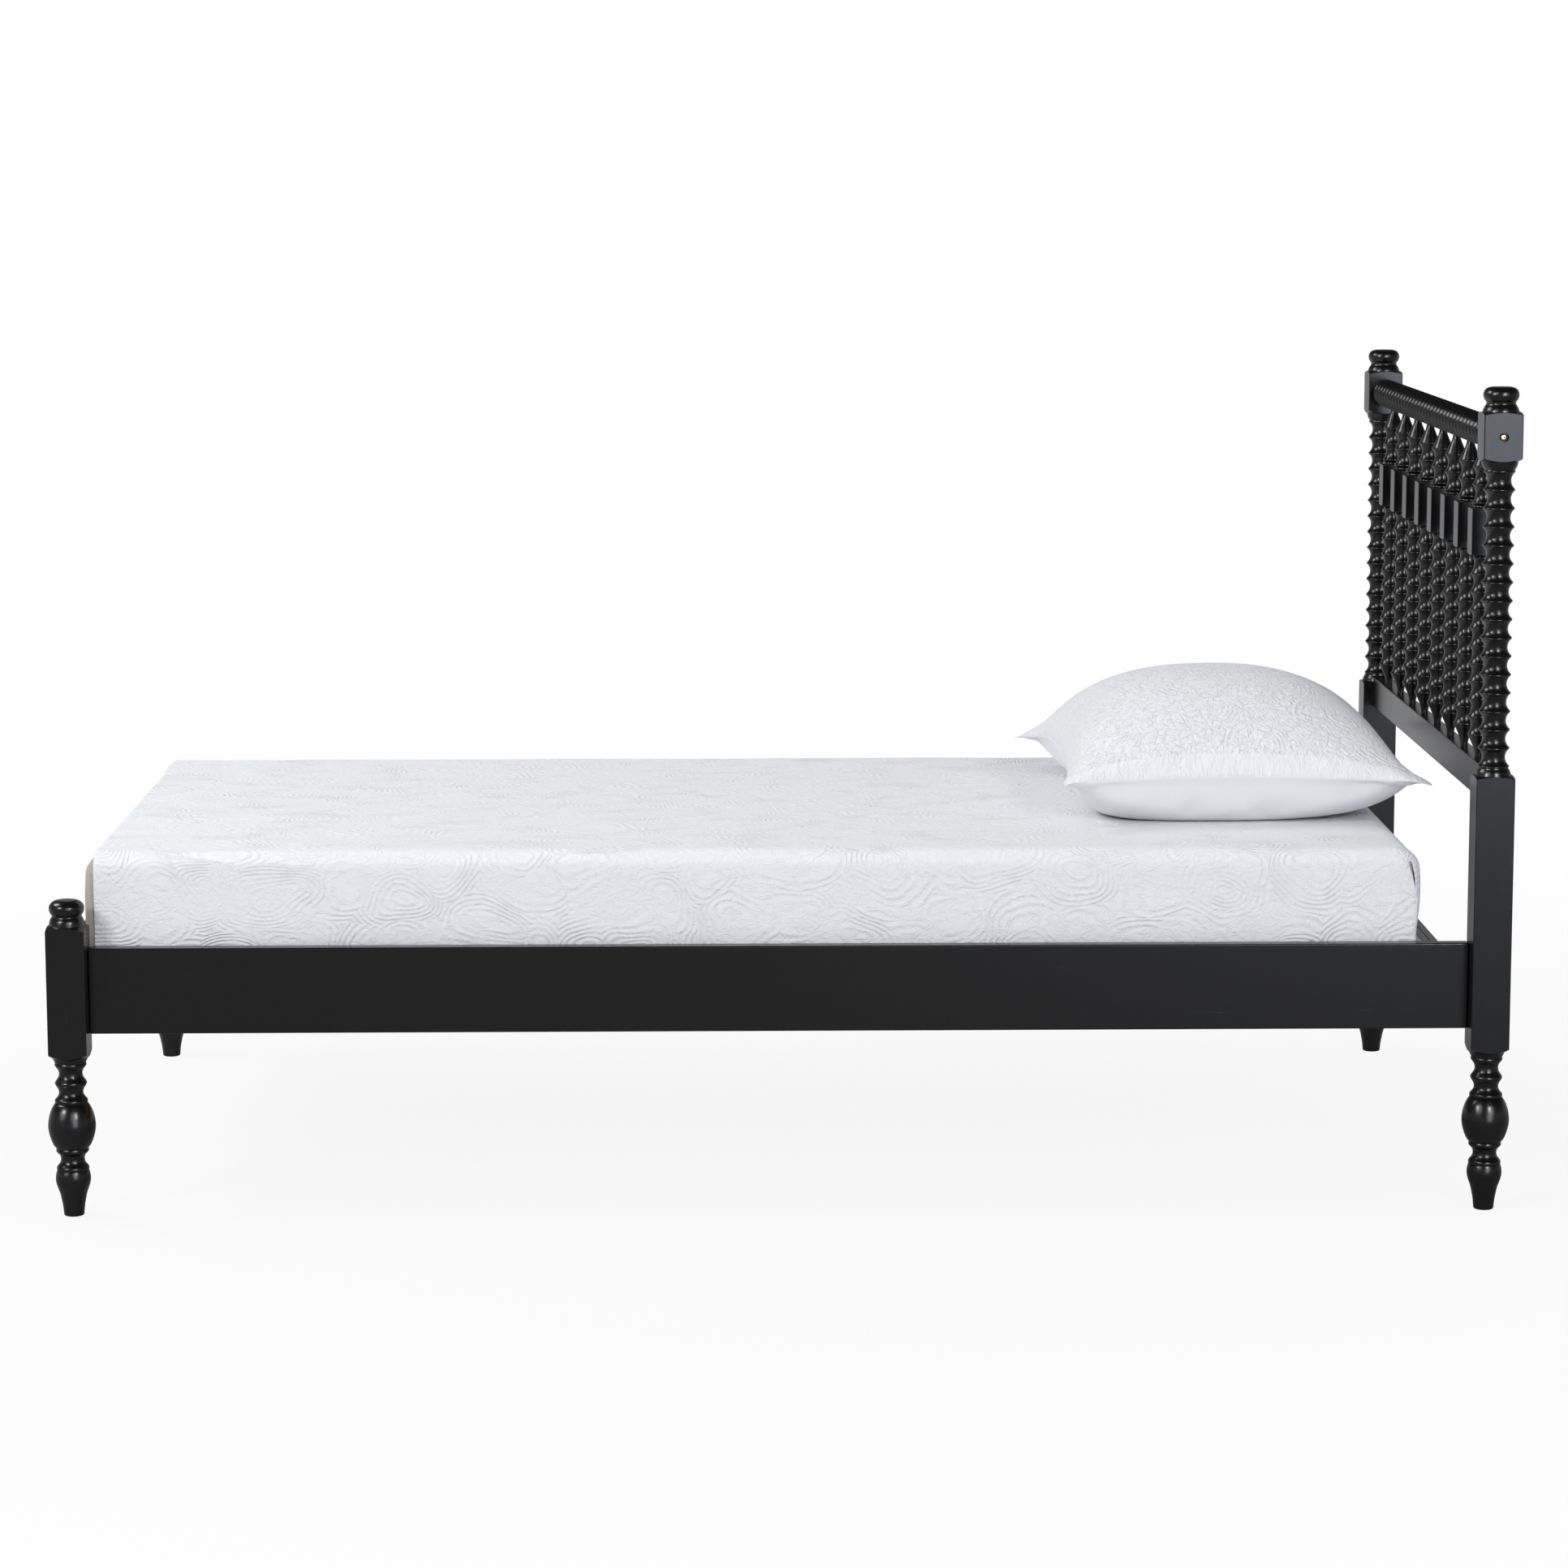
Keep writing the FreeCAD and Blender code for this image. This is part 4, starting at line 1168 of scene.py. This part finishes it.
class BED_OT_coverlet(bpy.types.Operator):
    """Lays the quilted coverlet over the mattress, split at the head corners"""

    bl_idname = "bed.coverlet"
    bl_label = "Coverlet"

    def execute(self, context):
        low, high = (Vector(corner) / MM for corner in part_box("coverlet"))
        low.x -= 1.0
        head, near, far = high.x - BEND, low.y + BEND, high.y - BEND
        hem = ARC + high.z - low.z - BEND
        us = stepped(
            [(low.x, 0), (low.x + 12, 2), (head, 108), (head + ARC, 6), (head + hem, 10)]
        )
        vs = stepped(
            [(near - hem, 0), (near - ARC, 12), (near, 6), (far, 52), (far + ARC, 6),
             (far + hem, 10)]
        )
        bm, flat = cloth_grid(us, vs)

        def in_corner(v):
            u, w = v[flat].x, v[flat].y
            return min(u - head, max(near - w, w - far)) > SPLIT - 0.1

        corners = [f for f in bm.faces if all(in_corner(v) for v in f.verts)]
        bmesh.ops.delete(bm, geom=corners, context="FACES")
        for v in bm.verts:
            v.co = draped(v[flat].x, v[flat].y, low, high)
        bmesh.ops.recalc_face_normals(bm, faces=bm.faces)
        if sum(f.normal.z * f.calc_area() for f in bm.faces) < 0:
            bmesh.ops.reverse_faces(bm, faces=bm.faces)
        keep_flat_map(bm, flat)
        piece = laid_mesh("matelasse_coverlet", bm)
        in_metres(piece)
        piece.data.shade_smooth()
        cloth = piece.modifiers.new("Thickness", "SOLIDIFY")
        cloth.thickness, cloth.offset = context.scene.bed_bedding.cloth, -1
        softened(piece)
        pattern = (12.0, 11.5, 1.0, 85.0, 0.5)
        material = quilted_cotton("coverlet_cotton", "coverlet", pattern, 1.25, (0.85, 1.15, 1))
        fitted(piece, "bedding", "coverlet_cloth", "coverlet", material)
        return {"FINISHED"}


def filled(piece, pressure, frames, ease, most):
    """Fills a sewn cover by cloth simulation; no point moves further than most millimetres."""
    scene = bpy.context.scene
    cut = [v.co.copy() for v in piece.data.vertices]
    cloth = piece.modifiers.new("Filling", "CLOTH")
    rules = cloth.settings
    rules.quality = 6
    rules.mass = 0.25
    rules.tension_stiffness = rules.compression_stiffness = 12
    rules.shear_stiffness = 5
    rules.bending_stiffness = 0.08
    rules.air_damping = 3.0
    rules.shrink_min = -ease
    rules.use_pressure = True
    rules.uniform_pressure_force = pressure
    rules.effector_weights.gravity = 0
    cloth.collision_settings.use_collision = False
    cloth.point_cache.frame_start, cloth.point_cache.frame_end = 1, frames
    for number in range(1, frames + 1):
        scene.frame_set(number)
    settled(piece)
    scene.frame_set(1)
    for v, start in zip(piece.data.vertices, cut):
        move = v.co - start
        far = move.length
        if far > 0:
            v.co = start + move * (most * MM * math.tanh(far / (most * MM)) / far)


def sewn(a, b, half_x, half_y, rise, under):
    """Where a point of the sham, a and b from -1 to 1 on the flat, lies once it is sewn: on
    its crown or under its seam. The sides draw in, and the corners stand out as ears."""
    fall_a, lift_a = (2.5, 0.6) if a < 0 else (2.2, 0.74)
    over_a, over_b = max(0.0, 1 - abs(a) ** fall_a), max(0.0, 1 - abs(b) ** 2.4)
    ear = abs(a * b) ** 3.5
    thin = 1 - 0.6 * abs(a * b) ** 4
    x = half_x * a * (1 - 0.07 * (1 - b * b) * a * a)
    y = half_y * b * (1 - 0.07 * (1 - a * a) * b * b)
    z = -4.0 * ear + 5.0 * (1 - a * a) * abs(b) ** 8
    if a > 0:
        x += 6.0 * ear
    elif b > 0:
        x -= 26.0 * ear
        z -= 26.0 * ear
    if not under:
        return Vector((x, y, z + rise * over_a**lift_a * over_b**0.85 * thin))
    full = min(1.0, 1.3 * max(0.0, (over_a * over_b - 0.06) / 0.94) ** 0.55) * thin
    belly = math.sin(full * math.pi / 2) * (1 - 0.16 * max(0.0, a))
    return Vector((x * (1 - 0.03 * belly), y * (1 - 0.04 * belly), z - rise * belly))


class BED_OT_pillow(bpy.types.Operator):
    """Sews the pillow sham, fills it by cloth simulation and sets it on the coverlet"""

    bl_idname = "bed.pillow"
    bl_label = "Pillow"

    def execute(self, context):
        low, high = (Vector(corner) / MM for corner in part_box("pillow_sham"))
        sizes = context.scene.bed_bedding
        seam, above = low.z + SEAM_HIGH, high.z - low.z - SEAM_HIGH
        centre = (low + high) / 2
        half_x, half_y = (high.x - low.x) / 2, (high.y - low.y) / 2
        band = sizes.hem / MM - half_y
        us = stepped([(-half_x, 0), (half_x, 66)])
        vs = stepped([(-half_y, 0), (band, 4), (half_y, 78)])
        bm, flat = cloth_grid(us, vs)
        for face in bm.faces:
            if max(v[flat].y for v in face.verts) < band + 0.1:
                face.material_index = 2
        whole = bm.verts[:] + bm.edges[:] + bm.faces[:]
        under = bmesh.ops.duplicate(bm, geom=whole)["geom"]
        lower = [g for g in under if isinstance(g, bmesh.types.BMFace)]
        for face in lower:
            face.material_index = 1
        bmesh.ops.reverse_faces(bm, faces=lower)
        lower_verts = {v for f in lower for v in f.verts}
        for v in bm.verts:
            a, b, below = v[flat].x / half_x, v[flat].y / half_y, v in lower_verts
            v.co = sewn(a, b, half_x, half_y, SEAM_HIGH if below else above, below)
        bmesh.ops.remove_doubles(bm, verts=bm.verts, dist=0.01)
        keep_flat_map(bm, flat)
        sham = laid_mesh("crinkled_pillow_sham", bm)
        in_metres(sham)
        filled(sham, sizes.pressure, 20, 0.035, 6.0)
        verts = sham.data.vertices
        lift = above / (max(v.co.z for v in verts) / MM)
        for v in verts:
            x, y, z = v.co / MM
            z = z * lift if z > 0 else max(z, -SEAM_HIGH)
            v.co = Vector((centre.x + x, centre.y + y, seam + z)) * MM
        sham.data.shade_smooth()
        crown, plain = (11.0, 11.0, 0.6, 95.0, 0.8), (6.0, 3.0, 0.0, 30.0, 0.1)
        hem = (12.0, 3.0, 0.1, 60.0, 0.9)
        cottons = (
            quilted_cotton("sham_cotton", "sham", crown, 1.6),
            quilted_cotton("sham_underside", "underside", plain, 0.5),
            quilted_cotton("sham_hem", "sham", hem, 0.9, (1.5, 0.6, 1)),
        )
        insert_mesh = sham.data.copy()
        softened(sham)
        fitted(sham, "pillow", "sham_cloth", "pillow_sham", *cottons)
        insert = bpy.data.objects.new("filled_pillow_insert", insert_mesh)
        context.scene.collection.objects.link(insert)
        hub = Vector((centre.x, centre.y, seam + 12)) * MM
        for v in insert_mesh.vertices:
            v.co = hub + (v.co - hub) * 0.92
        cotton = knitted("insert_cotton", "sham")
        fitted(insert, "pillow", "pillow_filling", "pillow_insert", cotton)
        for polygon in insert_mesh.polygons:
            polygon.material_index = 0
        return {"FINISHED"}


# ---- the stage -----------------------------------------------------------
FOCAL = 5343.8  # the photograph's focal length in pixels
SENSOR = 36.0
TURNS = (0.715, 8.400, -0.094)  # yaw, pitch and roll of the camera, in degrees
EYE = (-0.0680, -6.4964, 1.4884)


def softbox(name, place, aim, width, height, power):
    light = bpy.data.lights.new(name, "AREA")
    light.shape, light.size, light.size_y, light.energy = "RECTANGLE", width, height, power
    lamp = bpy.data.objects.new(name, light)
    bpy.context.scene.collection.objects.link(lamp)
    lamp.location = place
    lamp.rotation_euler = (Vector(aim) - Vector(place)).to_track_quat("-Z", "Y").to_euler()
    return lamp


def seen_directly(tree, in_gloss):
    """1 for rays that show the background straight or through glass, in_gloss for mirrored ones."""
    path = tree.nodes.new("ShaderNodeLightPath").outputs
    mirrored = times(tree, path["Is Glossy Ray"], in_gloss)
    first = sums(tree, "MAXIMUM", path["Is Camera Ray"], mirrored)
    return sums(tree, "MAXIMUM", first, path["Is Transmission Ray"])


def in_mirrors(tree, directly, mirrored):
    """One colour for most rays and another for glossy ones."""
    path = tree.nodes.new("ShaderNodeLightPath").outputs
    return blended(tree, path["Is Glossy Ray"], directly, mirrored)


def studio_floor():
    """A pale floor that catches the shadow and fades to the white background; in mirrors it is
    painted dark in front of the bed and pale behind it, as painted shade and light.
    """
    bm = bmesh.new()
    bmesh.ops.create_grid(bm, x_segments=8, y_segments=8, size=60)
    floor = laid_mesh("studio_floor", bm)
    material, tree = cleared("studio_floor")
    where = tree.nodes.new("ShaderNodeTexCoord").outputs["Object"]
    ahead = node(tree, "ShaderNodeSeparateXYZ", Vector=where).outputs["Y"]
    # painted shade and light in reflections: as the paint mirrors it, the floor runs from dark in
    # front of the bed to pale behind it
    floor_painted_shade_in_mirrors = spread(tree, ahead, -0.5, 3.0, 0.26, 0.9)
    tone = in_mirrors(tree, (0.64, 0.64, 0.645), floor_painted_shade_in_mirrors)
    matte = node(tree, "ShaderNodeBsdfDiffuse", Color=tone)
    white = node(tree, "ShaderNodeEmission", Color=(1, 1, 1, 1), Strength=1.0)
    away = vectors(tree, "LENGTH", where)["Value"]
    clear = spread(tree, away, 1.2, 3.0, 0.9, 1.0)
    share = times(tree, seen_directly(tree, 0.05), clear)
    either(tree, share, matte, white, "ShaderNodeOutputMaterial")
    floor.data.materials.append(material)


def studio_room(scene, level):
    """Even light, a white background, and what gloss mirrors: a dim room with two glows, painted
    highlights towards the left and right softboxes that are seen only in gloss and light nothing.
    """
    world = bpy.data.worlds.new("Studio")
    scene.world = world
    world.use_nodes = True
    tree = world.node_tree
    tree.nodes.clear()
    direction = tree.nodes.new("ShaderNodeTexCoord").outputs["Generated"]
    up = node(tree, "ShaderNodeSeparateXYZ", Vector=direction).outputs["Z"]
    dim = spread(tree, up, 0.0, 0.45, 0.5, 0.05)
    # painted highlights: glows seen only by glossy rays, towards the left and right softboxes, that
    # widen the softboxes' own highlights
    for painted_highlight_bearing in ((-0.635, -0.635, 0.44), (0.316, -0.884, 0.347)):
        toward_painted_highlight = vectors(tree, "DOT_PRODUCT", direction, painted_highlight_bearing)["Value"]
        dim = plus(tree, dim, spread(tree, toward_painted_highlight, 0.955, 0.99, 0.0, 3.4))
    shown = in_mirrors(tree, (1, 1, 1), dim)
    even = times(tree, spread(tree, up, -0.1, 0.75, 0.35, 1.1), level)
    room = node(tree, "ShaderNodeBackground", Color=(0.965, 0.975, 1, 1), Strength=even)
    backdrop = node(tree, "ShaderNodeBackground", Color=shown, Strength=1.0)
    either(tree, seen_directly(tree, 1.0), room, backdrop, "ShaderNodeOutputWorld")


def photo_camera(scene):
    camera = bpy.data.cameras.new("photo_camera")
    camera.sensor_fit, camera.sensor_width = "HORIZONTAL", SENSOR
    camera.lens = FOCAL / PHOTO_SIDE * SENSOR
    camera.clip_start, camera.clip_end = 0.1, 200
    yaw, pitch, roll = (math.radians(d) for d in TURNS)
    flat = math.cos(pitch)
    ahead = Vector((math.sin(yaw) * flat, math.cos(yaw) * flat, -math.sin(pitch)))
    level = Vector((math.cos(yaw), -math.sin(yaw), 0))
    over = level.cross(ahead)
    right = level * math.cos(roll) + over * math.sin(roll)
    top = over * math.cos(roll) - level * math.sin(roll)
    eye = bpy.data.objects.new("photo_camera", camera)
    scene.collection.objects.link(eye)
    turn = Matrix((right, top, -ahead)).transposed().to_4x4()
    eye.matrix_world = Matrix.Translation(EYE) @ turn
    scene.camera = eye


class BED_OT_stage(bpy.types.Operator):
    """Lays the pale floor and sets the softboxes, the room light and the camera"""

    bl_idname = "bed.stage"
    bl_label = "Stage, lights and camera"

    def execute(self, context):
        scene = context.scene
        levels = scene.bed_stage
        studio_floor()
        studio_room(scene, levels.room)
        softbox("left_softbox", (-3.9, -3.9, 3.2), (0, 0, 0.5), 0.9, 0.85, levels.left_box)
        softbox("right_softbox", (2.2, -5.6, 2.8), (0.2, 0, 0.6), 0.8, 1.0, levels.right_box)
        softbox("high_softbox", (-3.6, 0.4, 3.7), (0.2, 0, 0.5), 2.0, 1.5, levels.high_box)
        low = softbox("front_softbox", (2.4, -7.4, 0.8), (0.6, 0, 0.8), 2.6, 1.4, levels.front_box)
        low.data.color = (0.8, 0.87, 1.0)
        photo_camera(scene)
        scene.view_settings.view_transform = "Standard"
        return {"FINISHED"}


OPERATORS = (
    BED_OT_foot_posts,
    BED_OT_head_posts,
    BED_OT_spindles,
    BED_OT_top_rail,
    BED_OT_rails,
    BED_OT_support,
    BED_OT_bolts,
    BED_OT_mattress,
    BED_OT_coverlet,
    BED_OT_pillow,
    BED_OT_stage,
)


class BED_PT_panel(bpy.types.Panel):
    """Lists the bed's pieces in the sidebar"""

    bl_label = "Spindle bed"
    bl_idname = "BED_PT_panel"
    bl_space_type = "VIEW_3D"
    bl_region_type = "UI"
    bl_category = "Spindle bed"

    def draw(self, context):
        for operator in OPERATORS:
            self.layout.operator(operator.bl_idname)


GROUPS = {
    "bed_turnings": TurningSizes,
    "bed_bedding": BeddingSizes,
    "bed_finishes": Finishes,
    "bed_stage": StageLevels,
}


def register():
    for group in GROUPS.values():
        bpy.utils.register_class(group)
    for name, group in GROUPS.items():
        setattr(bpy.types.Scene, name, PointerProperty(type=group))
    for operator in OPERATORS:
        bpy.utils.register_class(operator)
    bpy.utils.register_class(BED_PT_panel)


def unregister():
    bpy.utils.unregister_class(BED_PT_panel)
    for operator in reversed(OPERATORS):
        bpy.utils.unregister_class(operator)
    for name, group in GROUPS.items():
        delattr(bpy.types.Scene, name)
        bpy.utils.unregister_class(group)


def main():
    register()
    bpy.ops.bed.stage()
    for operator in OPERATORS[:-1]:
        area, name = operator.bl_idname.split(".")
        getattr(getattr(bpy.ops, area), name)()


if __name__ == "__main__":
    main()
